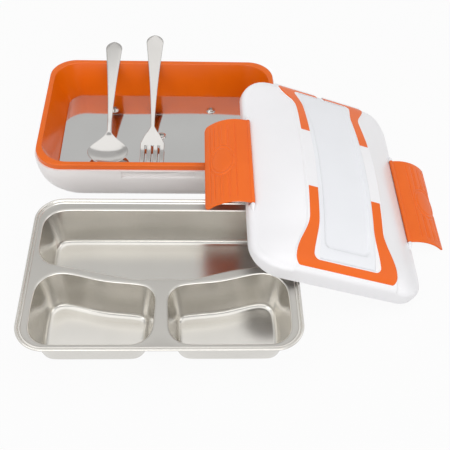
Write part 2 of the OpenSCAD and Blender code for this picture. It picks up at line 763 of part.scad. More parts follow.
module lid_shell() {
    bore_d = hinge_pin_d + 2 * pin_play;
    panel_top = panel_low + panel_thick;
    color("white") lid_pose() difference() {
        union() {
            difference() {
                lid_block(0, 0, true);
                lid_block(lid_wall, -over, false);
                rounded_block(rim_width / 2 + skirt_gap, rim_length / 2 + skirt_gap,
                              rim_corner + skirt_gap, -over, rim_band + rim_room);
            }
            intersection() {
                lid_block(lid_wall / 2, 0, false);
                union() {
                    translate([-well_half - 2, -well_reach - 2, well_floor - 2])
                        cube([2 * well_half + 4, 2 * well_reach + 4, crest]);
                    at_panel_screws() translate([0, 0, panel_top]) cylinder(d = 7, h = crest);
                    for (sx = [-1, 1])
                        translate([sx * (cover_half + 2.5) - 3, cover_axis_b - 4, well_floor]) cube([6, 8, crest]);
                    for (side = [0, 1])
                        mirror([side, 0, 0])
                            translate([hinge_out - barrel_r - 2.2, latch_shift - notch_half - lug_length,
                                       rim_band + rim_room])
                                cube([1.2, 2 * (notch_half + lug_length), crest]);
                }
            }
            hinge_lugs();
        }
        for (side = [0, 1]) {
            latch_notch(side);
            mirror([side, 0, 0])
                translate([hinge_out, latch_shift, hinge_up]) rotate([90, 0, 0])
                    cylinder(d = bore_d, h = 2 * (notch_half + lug_length) - 2, center = true);
        }
        intersection() {
            above_arch(cover_thick + 0.2);
            linear_extrude(crest + 9) cover_outline(cover_gap);
        }
        intersection() {
            above_arch(inlay_thick);
            linear_extrude(crest + 9) {
                far_inlay_outline();
                mirror([0, 1]) inlay_outline();
            }
        }
        translate([-cover_half - cover_gap, cover_axis_b - cover_thick - 2 * cover_gap,
                   arch(cover_axis_b) - cover_thick])
            cube([2 * (cover_half + cover_gap), cover_thick + 3 * cover_gap, crest]);
        cover_axis() {
            cylinder(r = cover_thick + cover_gap, h = 2 * (cover_half + cover_gap), center = true);
            cylinder(d = bore_d, h = 2 * cover_half + 6, center = true);
        }
        translate([-well_half, -well_reach, well_floor]) cube([2 * well_half, 2 * well_reach, crest]);
        at_panel_screws() translate([0, 0, panel_top - over]) cylinder(d = shank_d, h = 8);
    }
}

// Lugs that hold the ends of the hinge pins
module hinge_lugs() {
    for (side = [0, 1], turn = [0, 1])
        mirror([side, 0, 0]) translate([0, latch_shift, 0]) mirror([0, turn, 0])
            translate([hinge_out, notch_half + lug_length, 0]) {
                translate([0, 0, hinge_up]) rotate([90, 0, 0]) cylinder(r = barrel_r + 0.4, h = lug_length);
                translate([-barrel_r - 0.4, -lug_length, rim_band + rim_room])
                    cube([2 * barrel_r + 0.8, lug_length, hinge_up - rim_band - rim_room]);
            }
}

module near_inlay() {
    color("coral") lid_pose() intersection() {
        arch_sheet(-inlay_proud, inlay_thick);
        linear_extrude(crest + 9) mirror([0, 1]) inlay_outline();
    }
}

module far_inlay() {
    color("coral") lid_pose() intersection() {
        arch_sheet(-inlay_proud, inlay_thick);
        linear_extrude(crest + 9) far_inlay_outline();
    }
}

module inner_panel() {
    color("whitesmoke") lid_pose() difference() {
        rounded_block(panel_half_a, panel_half_b, panel_corner, panel_low, panel_low + panel_thick);
        at_panel_screws() translate([0, 0, panel_low - over]) cylinder(d = shank_d + 0.3, h = panel_thick + 2 * over);
    }
}

module lid_gasket() {
    outer = gasket_width;
    color("gray") lid_pose() difference() {
        rounded_block(panel_half_a + outer, panel_half_b + outer, panel_corner + outer,
                      gasket_low, panel_low + panel_thick - 0.2);
        rounded_block(panel_half_a, panel_half_b, panel_corner, gasket_low - over, crest);
    }
}

module panel_screws() {
    color("gainsboro") lid_pose() at_panel_screws()
        translate([0, 0, panel_low]) rotate([180, 0, 0]) screw(small_head_d, 1.4, panel_thick + 6);
}

module cutlery_cover() {
    color("whitesmoke") lid_pose() {
        difference() {
            union() {
                intersection() {
                    arch_sheet(0, cover_thick);
                    linear_extrude(crest + 9) cover_outline(0);
                }
                intersection() {
                    arch_sheet(0, cover_thick + dish_depth);
                    linear_extrude(crest + 9) dish_outline(cover_thick);
                }
            }
            intersection() {
                above_arch(dish_depth);
                linear_extrude(crest + 9) dish_outline(0);
            }
        }
        cover_axis() {
            cylinder(r = cover_thick, h = 2 * cover_half, center = true);
            cylinder(d = hinge_pin_d, h = 2 * cover_half + 5, center = true);
        }
    }
}

// Latch in its own frame: pin on the origin, lip on +X, bulge on +Z
module latch() {
    drop = latch_radius - latch_bulge;
    lean = asin(latch_chord / 2 / latch_radius);
    difference() {
        union() {
            rotate([90, 0, 0]) linear_extrude(latch_length, center = true) {
                intersection() {
                    translate([latch_chord / 2, -drop]) difference() {
                        circle(latch_radius + latch_thick / 2, $fn = 180);
                        circle(latch_radius - latch_thick / 2, $fn = 180);
                    }
                    square([latch_chord, 2 * latch_chord]);
                }
                circle(barrel_r);
                translate([latch_chord, 0]) circle(latch_thick / 2 + 0.3);
            }
            translate([latch_chord / 2, 0, -drop])
                rotate([0, -lean * 0.45, 0]) translate([0, 0, latch_radius - latch_thick / 2 - 0.5])
                    rotate([90, 0, 0]) cylinder(r = 1.2, h = recess_length - 2, center = true);
            intersection() {
                translate([latch_chord / 2, 0, -drop]) rotate([90, 0, 0])
                    cylinder(r = latch_radius + latch_thick / 2 + 0.5, h = latch_length / 2, center = true, $fn = 180);
                translate([latch_chord / 2, 0, 0]) linear_extrude(latch_bulge + latch_thick)
                    polygon([for (i = [0:47]) [8.5 * cos(7.5 * i), 13 * sin(7.5 * i)]]);
            }
        }
        rotate([90, 0, 0]) cylinder(d = hinge_pin_d + 2 * pin_play, h = latch_length + 2 * over, center = true);
        for (i = [-4, -3, 3, 4])
            translate([latch_chord / 2, 0, -drop])
                rotate([0, i / 5 * lean, 0])
                    translate([0, 0, latch_radius + latch_thick / 2 + 0.3])
                        rotate([90, 0, 0]) cylinder(r = groove_r, h = latch_length - 2 * groove_margin, center = true);
    }
}

// Place of a latch's pin on the right side, or on the left side when mirrored
module at_hinge(mirrored) {
    lid_pose() mirror([mirrored, 0, 0]) translate([hinge_out, latch_shift, hinge_up]) children();
}

module left_latch() {
    color("coral") at_hinge(1) rotate([0, left_droop, 0]) latch();
}

module right_latch() {
    color("coral") at_hinge(0) rotate([0, right_droop, 0]) latch();
}

module hinge_pin() {
    rotate([90, 0, 0]) cylinder(d = hinge_pin_d, h = 2 * (notch_half + lug_length) - 3, center = true);
}

module left_latch_pin() {
    color("silver") at_hinge(1) hinge_pin();
}

module right_latch_pin() {
    color("silver") at_hinge(0) hinge_pin();
}

// Flat handle seen from above, from its round end down to the neck
module handle_outline(head, wide, neck_at) {
    neck = 1.9;
    steps = 12;
    function half(s) = neck + (wide / 2 - neck) * pow(1 - s / (neck_at + head - wide / 2), 1.6);
    side = [for (i = [0:steps]) let (s = (neck_at + head - wide / 2) * i / steps) [half(s), head - wide / 2 - s]];
    polygon(concat(side, [for (i = [steps:-1:0]) [-side[i][0], side[i][1]]]));
    translate([0, head - wide / 2]) circle(wide / 2);
}

// Points of an ellipse
function oval(half_x, half_y, steps) =
    [for (i = [0:steps - 1]) [half_x * cos(360 * i / steps), half_y * sin(360 * i / steps)]];

module spoon() {
    head = 27;
    middle = spoon_length - head - bowl_length / 2;
    above = sqrt(bowl_radius * bowl_radius - bowl_width * bowl_width / 4);
    depth = bowl_radius - above;
    color("silver") leaning(spoon_x, middle, above, bowl_radius + handle_thick / 2,
                            plate_top + plate_head_h) {
        translate([0, 0, -handle_thick / 2]) linear_extrude(handle_thick)
            handle_outline(head, spoon_head, middle - bowl_length / 2 + 3);
        intersection() {
            translate([0, -middle, above]) difference() {
                sphere(bowl_radius + handle_thick / 2, $fn = 180);
                sphere(bowl_radius - handle_thick / 2, $fn = 180);
            }
            translate([0, -middle, -2 * depth]) linear_extrude(2 * depth + handle_thick / 2)
                polygon(oval(bowl_width / 2, bowl_length / 2, 48));
        }
    }
}

module fork() {
    head = 36;
    reach = fork_length - head;
    shoulder = reach - fork_crown;
    bend = 90;
    color("silver") leaning(fork_x, shoulder + 14, bend - handle_thick, bend + handle_thick / 2,
                            plate_top) {
        translate([0, 0, -handle_thick / 2]) linear_extrude(handle_thick)
            handle_outline(head, fork_head, shoulder - 4);
        intersection() {
            translate([0, -shoulder - 14, bend - handle_thick]) rotate([0, 90, 0]) difference() {
                cylinder(r = bend + handle_thick / 2, h = 2 * fork_width, center = true, $fn = 360);
                cylinder(r = bend - handle_thick / 2, h = 2 * fork_width, center = true, $fn = 360);
            }
            translate([0, 0, -10]) linear_extrude(20) difference() {
                union() {
                    translate([0, -shoulder - 6]) polygon(oval(fork_width / 2, 16, 48));
                    translate([-fork_width / 2, -reach]) square([fork_width, reach - shoulder - 6]);
                }
                for (i = [-1:1])
                    translate([i * (fork_width + slot_width) / 4 - slot_width / 2, -reach - over])
                        square([slot_width, slot_reach]);
            }
        }
    }
}

outer_shell();
inner_liner();
heating_plate();
plate_screws();
heating_element();
insulation_pad();
thermal_cutout();
thermal_fuse();
supply_wires();
inlet_socket();
inlet_pins();
indicator_lens();
pilot_lamp();
feet();
base_screws();
food_tray();
lid_shell();
near_inlay();
far_inlay();
inner_panel();
lid_gasket();
panel_screws();
cutlery_cover();
left_latch();
right_latch();
left_latch_pin();
right_latch_pin();
spoon();
fork();
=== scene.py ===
import json
import bmesh
import bpy
import numpy as np
from mathutils import Matrix, Vector


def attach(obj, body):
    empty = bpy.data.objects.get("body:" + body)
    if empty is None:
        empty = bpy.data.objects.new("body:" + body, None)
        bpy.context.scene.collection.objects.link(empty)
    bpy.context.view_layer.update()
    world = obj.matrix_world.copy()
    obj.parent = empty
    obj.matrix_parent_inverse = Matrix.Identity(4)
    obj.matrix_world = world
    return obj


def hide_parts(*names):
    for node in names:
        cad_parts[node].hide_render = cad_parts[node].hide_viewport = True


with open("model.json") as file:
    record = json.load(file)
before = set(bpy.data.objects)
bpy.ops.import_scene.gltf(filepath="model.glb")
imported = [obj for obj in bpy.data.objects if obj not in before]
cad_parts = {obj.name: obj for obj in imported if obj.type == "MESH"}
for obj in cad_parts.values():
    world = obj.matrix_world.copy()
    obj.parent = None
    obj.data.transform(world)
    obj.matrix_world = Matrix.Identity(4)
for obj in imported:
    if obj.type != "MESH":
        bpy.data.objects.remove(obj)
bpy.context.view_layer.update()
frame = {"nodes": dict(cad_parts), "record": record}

nodes = frame["nodes"]
mm = 0.001  # sizes below are in millimetres, and meshes are written in metres
print("stage: frame loaded,", len(nodes), "solids")


def addObject(name, data):
    made = bpy.data.objects.new(name, data)
    bpy.context.scene.collection.objects.link(made)
    return made


# Camera
camera = dict(place=(32.6436, -592.0904, 543.5682), turn=3.747, down=48.661, roll=-3.042, lens=60.228,
              near=0.01, far=20)


def setCamera(c):
    # looks ahead by its turn and dip, and rolls its right and up about that direction
    turn, down, roll = np.radians([c["turn"], c["down"], c["roll"]])
    ahead = np.array([np.sin(turn) * np.cos(down), np.cos(turn) * np.cos(down), -np.sin(down)])
    side = np.array([np.cos(turn), -np.sin(turn), 0])
    under = np.cross(ahead, side)
    right = np.cos(roll) * side + np.sin(roll) * under
    up = np.sin(roll) * side - np.cos(roll) * under
    data = bpy.data.cameras.new("camera")
    data.lens = c["lens"]
    data.clip_start, data.clip_end = c["near"], c["far"]
    eye = addObject("camera", data)
    place = np.eye(4)
    place[:3, 0], place[:3, 1], place[:3, 2] = right, up, -ahead
    place[:3, 3] = np.array(c["place"]) * mm
    eye.matrix_world = Matrix(place.tolist())
    bpy.context.scene.camera = eye


setCamera(camera)
print("stage: camera")


# Shader maths
class Value:  # one socket of a node, with the operators that the finishes use
    def __init__(self, owner, socket):
        self.owner, self.socket = owner, socket

    def maths(self, operation, first, second):
        return self.owner.node("ShaderNodeMath", {"operation": operation}, {0: first, 1: second})

    def __add__(self, other):
        return self.maths("ADD", self, other)

    def __radd__(self, other):
        return self.maths("ADD", other, self)

    def __sub__(self, other):
        return self.maths("SUBTRACT", self, other)

    def __rsub__(self, other):
        return self.maths("SUBTRACT", other, self)

    def __mul__(self, other):
        return self.maths("MULTIPLY", self, other)

    def __rmul__(self, other):
        return self.maths("MULTIPLY", other, self)

    def between(self, low, high):  # 0 below low, 1 above high, smooth in between
        return self.owner.node("ShaderNodeMapRange", {"interpolation_type": "SMOOTHSTEP"},
                               {"Value": self, "From Min": low, "From Max": high})

    def mix(self, first, second):  # the first colour where this is 0, the second where it is 1
        return self.owner.node("ShaderNodeMix", {"data_type": "RGBA"},
                               {"Factor": self, "A": first, "B": second})


class Wiring:  # the nodes of one material, or of the world
    def __init__(self, tree):
        self.tree = tree

    def set(self, made, values):
        for key, value in values.items():
            sockets = [s for s in made.inputs if s.enabled]
            socket = sockets[key] if isinstance(key, int) else next(s for s in sockets if s.name == key)
            if isinstance(value, Value):
                self.tree.links.new(value.socket, socket)
            elif isinstance(value, tuple) and len(value) == 3 and socket.type == "RGBA":
                socket.default_value = (*value, 1)
            else:
                socket.default_value = value

    def node(self, kind, settings, values, out=0):
        made = self.tree.nodes.new(kind)
        for key, value in settings.items():
            setattr(made, key, value)
        self.set(made, values)
        return Value(self, [s for s in made.outputs if s.enabled][out])

    def rays(self):  # three values, each 1 where a ray comes from the camera, off gloss or through glass
        path = self.node("ShaderNodeLightPath", {}, {}).socket.node
        kinds = ("Is Camera Ray", "Is Glossy Ray", "Is Transmission Ray")
        return [Value(self, path.outputs[kind]) for kind in kinds]


class Finish(Wiring):  # one material: a Principled shader with constants, and the nodes that vary it
    def __init__(self, name, constants):
        self.material = bpy.data.materials.new(name)
        self.material.use_nodes = True
        super().__init__(self.material.node_tree)
        self.shader = self.tree.nodes["Principled BSDF"]
        self.vary(constants)

    def vary(self, values):
        self.set(self.shader, values)

    def place(self, stretch=(1, 1, 1)):  # object coordinates in metres, stretched along each axis
        spot = self.node("ShaderNodeTexCoord", {}, {}, out=3)
        return self.node("ShaderNodeMapping", {}, {"Vector": spot, "Scale": stretch})

    def noise(self, scale, detail=2.0, stretch=(1, 1, 1), roughness=0.5):
        return self.node("ShaderNodeTexNoise", {}, {"Vector": self.place(stretch), "Scale": scale,
                                                    "Detail": detail, "Roughness": roughness})

    def bump(self, height, distance):
        self.vary({"Normal": self.node("ShaderNodeBump", {}, {"Height": height, "Distance": distance})})


# Finishes: noise scales first, then how strongly each noise acts; low and high are millimetres
finishes = {}
moulded = dict(flow=22, scuff=140, grain=1500, flowRough=0.03, scuffRough=0.03, scuffCoat=0.2)
rolled = dict(lines=60, cloud=18, wave=9, lineRough=0.04, cloudRough=0.02)
# satin roughness and speckle on the tray's web, and the colour and share of a painted shade that darkens the
# web
satinAndShade = dict(low=36.75, high=36.85, fadeIn=0.9, fadeOut=0.1, speckle=900, rough=0.14, speckleRough=0.05,
             share=0.85, colour=(0.50, 0.485, 0.455))


def plastic(name, colour, shade, roughness, coat, grain, shine=0.5):
    # moulded plastic: faint flow marks in its colour, a varying gloss and a fine moulded grain
    p = moulded
    made = Finish(name, {"IOR": 1.48, "Coat Roughness": 0.12, "Specular IOR Level": shine})
    flow = made.noise(p["flow"], 3).between(0.35, 0.7)
    fine = made.noise(p["grain"])
    scuff = made.noise(p["scuff"], 4, (1, 3, 1), 0.6).between(0.55, 0.8)
    made.vary({"Base Color": flow.mix(colour, shade),
               "Roughness": roughness + p["flowRough"] * flow + p["scuffRough"] * scuff,
               "Coat Weight": coat - p["scuffCoat"] * coat * scuff})
    made.bump(fine, grain * mm)
    finishes[name] = made


def steel(name, colour, shade, roughness, lines, stretch, wave=0.0):
    # metal sheet: long drawn lines in gloss and relief, cloudy tone, and a slow wave where it is rolled thin
    p = rolled
    made = Finish(name, {"Metallic": 1.0})
    drawn = made.noise(p["lines"], 5, stretch, 0.7)
    cloud = made.noise(p["cloud"], 3).between(0.3, 0.75)
    tone = cloud.mix(colour, shade)
    gloss = roughness + p["lineRough"] * (drawn - 0.5) + p["cloudRough"] * cloud
    slow = made.noise(p["wave"], 1)
    made.vary({"Base Color": tone, "Roughness": gloss})
    made.bump(lines * drawn + wave * slow, 1 * mm)
    finishes[name] = made
    return made, gloss, tone


def traySteel(p):
    # drawn bright in the pockets, satin on the level web, which lies between low and high, and a painted
    # shade that darkens the web's colour
    made, gloss, tone = steel("tray_steel", (0.71, 0.69, 0.65), (0.67, 0.65, 0.61), 0.24, 0.002, (0.5, 9, 9))
    height = made.node("ShaderNodeSeparateXYZ", {}, {"Vector": made.place()}, out=2)
    low, high = p["low"] * mm, p["high"] * mm
    web = height.between(low - p["fadeIn"] * mm, low) * (1 - height.between(high, high + p["fadeOut"] * mm))
    speckle = made.noise(p["speckle"]).between(0.4, 0.7)
    # the web gets a rougher satin gloss, and its colour is pulled toward the painted shade colour
    made.vary({"Roughness": gloss + web * (p["rough"] + p["speckleRough"] * speckle),
               "Base Color": (p["share"] * web).mix(tone, p["colour"])})


# plastics: name, colour, second colour, roughness, coat, grain in mm, specular level
# metals: name, colour, second colour, roughness, depth and stretch of the drawn lines, depth of the wave
plastic("shell_white", (0.89, 0.855, 0.845), (0.87, 0.835, 0.825), 0.3, 0.15, 0.003)
plastic("lid_white", (0.875, 0.868, 0.885), (0.86, 0.853, 0.87), 0.3, 0.2, 0.003)
plastic("liner_orange", (0.80, 0.137, 0.002), (0.76, 0.126, 0.002), 0.17, 0.3, 0.003, 0.3)
plastic("accent_orange", (0.85, 0.148, 0.012), (0.81, 0.136, 0.010), 0.36, 0.05, 0.004, 0.3)
plastic("cover_white", (0.825, 0.835, 0.865), (0.81, 0.82, 0.85), 0.3, 0.2, 0.003)
steel("plate_metal", (0.75, 0.745, 0.73), (0.72, 0.715, 0.70), 0.06, 0.002, (0.6, 12, 12), 2.0)
traySteel(satinAndShade)
steel("cutlery_steel", (0.61, 0.595, 0.575), (0.57, 0.555, 0.535), 0.16, 0.001, (9, 0.6, 9))
steel("screw_steel", (0.62, 0.61, 0.59), (0.56, 0.55, 0.53), 0.1, 0.002, (5, 5, 5))
steel("pin_steel", (0.6, 0.6, 0.6), (0.52, 0.52, 0.52), 0.25, 0.006, (5, 0.5, 5))
steel("pin_brass", (0.78, 0.56, 0.22), (0.7, 0.48, 0.18), 0.2, 0.004, (0.6, 8, 8))
plastic("heater_ceramic", (0.07, 0.07, 0.075), (0.09, 0.09, 0.09), 0.6, 0.0, 0.03)
plastic("pad_fibre", (0.5, 0.38, 0.2), (0.42, 0.31, 0.16), 0.85, 0.0, 0.3)
plastic("cutout_plastic", (0.015, 0.025, 0.025), (0.02, 0.03, 0.03), 0.45, 0.0, 0.02)
plastic("fuse_sleeve", (0.8, 0.77, 0.66), (0.75, 0.72, 0.6), 0.55, 0.0, 0.02)
plastic("wire_sleeve", (0.3, 0.012, 0.012), (0.25, 0.01, 0.01), 0.5, 0.0, 0.02)
plastic("socket_black", (0.012, 0.012, 0.013), (0.018, 0.018, 0.018), 0.45, 0.0, 0.02)
plastic("lamp_amber", (0.85, 0.28, 0.02), (0.8, 0.25, 0.02), 0.25, 0.3, 0.01)
plastic("foot_rubber", (0.10, 0.10, 0.10), (0.12, 0.12, 0.12), 0.7, 0.0, 0.04)
plastic("gasket_rubber", (0.5, 0.5, 0.5), (0.46, 0.46, 0.46), 0.6, 0.0, 0.03)
lens = Finish("lens_clear", {"Base Color": (0.95, 0.95, 0.95), "IOR": 1.46, "Transmission Weight": 0.9})
lens.vary({"Roughness": 0.05 + 0.1 * lens.noise(400)})
lens.bump(lens.noise(900), 0.01 * mm)
finishes["lens_clear"] = lens
print("stage:", len(finishes), "finishes")


# Meshes
weld = 0.002 * mm  # points that lie nearer than this are made one
straight = 1.56  # half of a corner's angle, in radians, from which it counts as no corner


def quads(rows, columns, wrapRows, wrapColumns):
    # corner numbers of the four-sided faces between neighbouring rows and columns of a grid
    i = np.arange(rows if wrapRows else rows - 1)[:, None]
    j = np.arange(columns if wrapColumns else columns - 1)[None, :]
    nextI, nextJ = (i + 1) % rows, (j + 1) % columns
    corners = [i * columns + j, i * columns + nextJ, nextI * columns + nextJ, nextI * columns + j]
    return np.stack(np.broadcast_arrays(*corners), -1).reshape(-1, 4)


def makePiece(name, sheets, body, finish, stands, place=None, sharp=34, fill=None, solid=0):
    # sheets are (points, rows join, columns join); fill closes what is still open
    points, faces, count = [], [], 0
    for grid, wrapRows, wrapColumns in sheets:
        points.append(grid.reshape(-1, 3))
        faces.append(quads(*grid.shape[:2], wrapRows, wrapColumns) + count)
        count += grid.shape[0] * grid.shape[1]
    points = np.vstack(points)
    if place is not None:
        points = points @ place[:3, :3].T + place[:3, 3]
    mesh = bpy.data.meshes.new(name)
    mesh.from_pydata((points * mm).tolist(), [], np.vstack(faces).tolist())
    work = bmesh.new()
    work.from_mesh(mesh)
    bmesh.ops.remove_doubles(work, verts=work.verts, dist=weld)
    bmesh.ops.dissolve_degenerate(work, edges=work.edges, dist=weld / 2)
    if fill:
        fill(work)
    bmesh.ops.recalc_face_normals(work, faces=work.faces)
    work.to_mesh(mesh)
    work.free()
    mesh.shade_smooth()
    mesh.set_sharp_from_angle(angle=np.radians(sharp))
    mesh.materials.append(finishes[finish].material)
    piece = addObject(name, mesh)
    if solid:
        wall = piece.modifiers.new("sheet", "SOLIDIFY")
        wall.thickness, wall.offset = solid * mm, -1
    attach(piece, body)
    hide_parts(*stands)
    print("stage:", name, len(mesh.polygons), "faces")


def gridBorder(grid):
    # border of a grid, going anticlockwise: right side up, far end left, left side down, near end right
    return np.concatenate([grid[:, -1], grid[-1, -2:0:-1], grid[::-1, 0], grid[0, 1:-1]])


def capEnds(work):
    # closes the loops that are left open at the ends of a swept section
    rim = [e for e in work.edges if e.is_boundary]
    bmesh.ops.holes_fill(work, edges=rim, sides=0)


def softened(points, radii, steps=4):
    # an open line whose corners are arcs: each arc touches both sides, and turns evenly between them
    points = np.array(points, float)
    line = [points[:1]]
    for before, corner, after, radius in zip(points[:-2], points[1:-1], points[2:], radii):
        one = (before - corner) / np.linalg.norm(before - corner)
        two = (after - corner) / np.linalg.norm(after - corner)
        half = np.arccos(np.clip(one @ two, -1, 1)) / 2
        if radius == 0 or half > straight:
            line.append(corner[None])
            continue
        middle = corner + (one + two) / np.linalg.norm(one + two) * radius / np.sin(half)
        start = corner + one * radius / np.tan(half) - middle
        stop = corner + two * radius / np.tan(half) - middle
        turn = np.pi - 2 * half
        share = np.linspace(0, 1, steps + 1)[:, None]
        arc = np.sin((1 - share) * turn) * start + np.sin(share * turn) * stop
        line.append(middle + arc / np.sin(turn))
    line.append(points[-1:])
    return np.vstack(line)


def roundWalk(corner, side):
    # once round a rectangle: the signs of the corner axis that a point stands off, and the angle
    signs = np.array([[1, 1], [-1, 1], [-1, -1], [1, -1]])
    quarter = np.linspace(0, np.pi / 2, corner + 1)[:, None]
    share = np.linspace(0, 1, side + 1)[1:-1, None]
    parts = []
    for k in range(4):
        here, there = signs[k], signs[(k + 1) % 4]
        parts.append(np.hstack([np.tile(here, (corner + 1, 1)), quarter + k * np.pi / 2]))
        parts.append(np.hstack([here + (there - here) * share, np.full((side - 1, 1), (k + 1) * np.pi / 2)]))
    return np.vstack(parts)


def ringed(halfX, halfY, corner, height, walk):
    # one round-cornered loop for each entry: its corner axis plus its corner radius at the walk's angle
    halfX, halfY, corner, height = [np.asarray(v, float)[:, None] for v in (halfX, halfY, corner, height)]
    x = (halfX - corner) * walk[:, 0] + corner * np.cos(walk[:, 2])
    y = (halfY - corner) * walk[:, 1] + corner * np.sin(walk[:, 2])
    return np.stack([x, y, height + 0 * x], -1)


def smooth(value, low, high):
    # 0 below low, 1 above high, with a level start and end
    t = np.clip((value - low) / (high - low), 0, 1)
    return t * t * (3 - 2 * t)


def turned(axis, degrees):
    # matrix of a turn about one axis: cosines on its diagonal, and sines across it
    c, s = np.cos(np.radians(degrees)), np.sin(np.radians(degrees))
    a, b = [i for i in range(3) if i != axis]
    made = np.eye(4)
    made[a, a] = made[b, b] = c
    made[a, b], made[b, a] = (s, -s) if axis == 1 else (-s, s)
    return made


def moved(x, y, z):
    # matrix of a shift
    made = np.eye(4)
    made[:3, 3] = x, y, z
    return made


def rod(spans, radii, count=24):
    # a round bar: places along it, and across and up a circle of that place's radius
    turn = np.linspace(0, 2 * np.pi, count + 1)[:-1]
    spans, radii = np.array(spans)[:, None], np.array(radii)[:, None]
    return spans + 0 * turn, radii * np.cos(turn), radii * np.sin(turn)


# Shell
shell = dict(halfX=119.1, halfY=82.6, corner=27.4, bilgeTop=33, extra=24, power=1.4, slack=0.5,
             fadeFrom=6, fadeTo=12, sharp=32, cuts=(17, 19, 21, 23, 25, 27, 29, 31, 33))


def makeShell(p):
    # the solid's own surface, cut at a few heights and drawn in at its lower corners like a boat's bilge:
    # the corner's radius grows by extra * (1 - z / bilgeTop) ** power towards the bottom
    source = nodes["outer_shell"].data
    work = bmesh.new()
    work.from_mesh(source)
    bmesh.ops.remove_doubles(work, verts=work.verts, dist=weld)
    for height in p["cuts"]:
        whole = work.verts[:] + work.edges[:] + work.faces[:]
        bmesh.ops.bisect_plane(work, geom=whole, plane_co=(0, 0, height * mm), plane_no=(0, 0, 1),
                               dist=5 * weld)
    mesh = bpy.data.meshes.new("shellBody")
    work.to_mesh(mesh)
    work.free()
    spots = np.empty(len(mesh.vertices) * 3, np.float32)
    mesh.vertices.foreach_get("co", spots)
    spots = spots.reshape(-1, 3) / mm
    axis = np.array([p["halfX"] - p["corner"], p["halfY"] - p["corner"]])
    more = p["extra"] * np.clip(1 - spots[:, 2] / p["bilgeTop"], 0, 1) ** p["power"]
    side, size = np.sign(spots[:, :2]), np.abs(spots[:, :2])
    out = size - axis
    corner = np.minimum(out[:, 0], out[:, 1]) > -p["slack"]
    reach = np.linalg.norm(np.maximum(out, 0), axis=1)
    unit = np.maximum(out, 0) / np.maximum(reach, 1e-6)[:, None]
    drawn = axis - more[:, None] + (reach + more)[:, None] * unit
    fade = smooth(reach, p["fadeFrom"], p["fadeTo"])
    size = np.where(corner[:, None], size + (drawn - size) * fade[:, None], size)
    spots[:, :2] = side * size
    mesh.vertices.foreach_set("co", (spots * mm).astype(np.float32).ravel())
    mesh.shade_smooth()
    mesh.set_sharp_from_angle(angle=np.radians(p["sharp"]))
    mesh.materials.append(finishes["shell_white"].material)
    body = addObject("shellBody", mesh)
    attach(body, "base")
    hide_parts("outer_shell")
    print("stage: shellBody", len(mesh.polygons), "faces")


makeShell(shell)


# Liner
liner = dict(halfX=117.7, halfY=81.2, corner=26, top=46, under=40, face=5, mouthCorner=27, floorIn=10.6,
             floor=8.5, thick=2, wall=1.8, ledge=12, hem=0.5, hemHigh=2.5, turnIn=0.5,
             hemSoft=0.4, rimSoft=1.0, mouthSoft=1.2, footSoft=2.5, backSoft=1.5)


def makeLiner(p):
    # a closed section carried round: up the rim's outside, over, down the wall, along the floor and back
    mouth = p["mouthCorner"]
    rim = mouth + p["face"]
    foot = mouth - p["floorIn"]
    inside, low = foot - p["ledge"], p["floor"] - p["thick"]
    slope = p["floorIn"] / (p["top"] - p["floor"])
    behind = mouth + p["wall"] - slope * (p["top"] - p["under"])
    hem = (mouth - p["hem"], p["under"] + p["hemHigh"])
    section = [hem, (rim - p["hemSoft"], p["under"]), (rim, p["under"]), (rim, p["top"]), (mouth, p["top"]),
               (foot, p["floor"]), (inside, p["floor"]), (inside, low), (foot + p["wall"], low),
               (behind, p["under"]), hem]
    radii = [0, p["hemSoft"], p["rimSoft"], p["mouthSoft"], p["footSoft"], 0, 0, p["backSoft"], 0]
    line = softened(section, radii, 5)
    out, height = line[:, 0], line[:, 1]
    outside = smooth(out, mouth + p["turnIn"], rim)  # the rim's outside turns a little tighter than its mouth
    corner = out - outside * (rim - p["corner"])
    grid = ringed(p["halfX"] - rim + out, p["halfY"] - rim + out, corner, height, roundWalk(16, 12))
    makePiece("liner", [(grid, False, True)], "base", "liner_orange", ["inner_liner"])


makeLiner(liner)


# Screws in the plate
plateScrews = dict(x=52, y=42, foot=10, radius=4.8, height=2.1, washer=0.6, inner=1.9, drive=0.2,
                   lead=0.3, flat=0.6, brim=0.9, brimHigh=0.25, pole=0.05, around=32)


def makePlateScrews(p):
    # a flat flange and a domed head with a hollow drive, turned round an upright axis
    profile = softened([(p["pole"], p["drive"]), (p["inner"] - p["lead"], p["drive"]),
                        (p["inner"], p["height"]), (p["radius"] * p["flat"], p["height"]),
                        (p["radius"] - p["brim"], p["washer"] + p["brimHigh"]),
                        (p["radius"], p["washer"]), (p["radius"], 0), (p["pole"], 0)],
                       [0.1, 0.15, 0.8, 0.5, 0.15, 0])
    around = np.linspace(0, 2 * np.pi, p["around"] + 1)[:-1]
    x = profile[:, :1] * np.cos(around)
    y = profile[:, :1] * np.sin(around)
    one = np.stack([x, y, profile[:, 1:] + p["foot"] + 0 * x], -1)
    spots = [(sx * p["x"], sy * p["y"], 0) for sx in (-1, 1) for sy in (-1, 1)] + [(0, 0, 0)]
    makePiece("plateScrewHeads", [(one + np.array(spot), False, True) for spot in spots], "base",
              "screw_steel", ["plate_screws"], fill=capEnds)


makePlateScrews(plateScrews)


# Tray
tray = dict(x=7.5, y=-198.1, halfX=115.5, halfY=80.75, corner=25, web=36, sheet=0.8, bead=1.2,
            beadTurn=(-160, 150), lip=1.9, foot=5.5, lean=8, floor=0.8, floorIn=2, land=1.75, near=0.02,
            rim=[(-2.7, 0.45), (-3.2, 0.85), (-4.2, 0.9), (-4.65, 0.05), (-4.95, 0)],
            rimSoft=[0.3, 0.3, 0.4, 0.2],
            back=[(87.5, 48.75, 20), (-87.5, 48.75, 20), (-87.5, 25, 20), (-22, 10, 20), (22, 10, 20),
                  (87.5, 25, 20)],
            backBow=[0, 0, 0, -0.5, -2.0, -0.5],
            front=[(-21, -31, 16), (-84.5, -24, 21), (-87.5, -55.75, 18), (-24, -55.75, 18)],
            frontBow=[-2.2, 0.4, 0, 0])


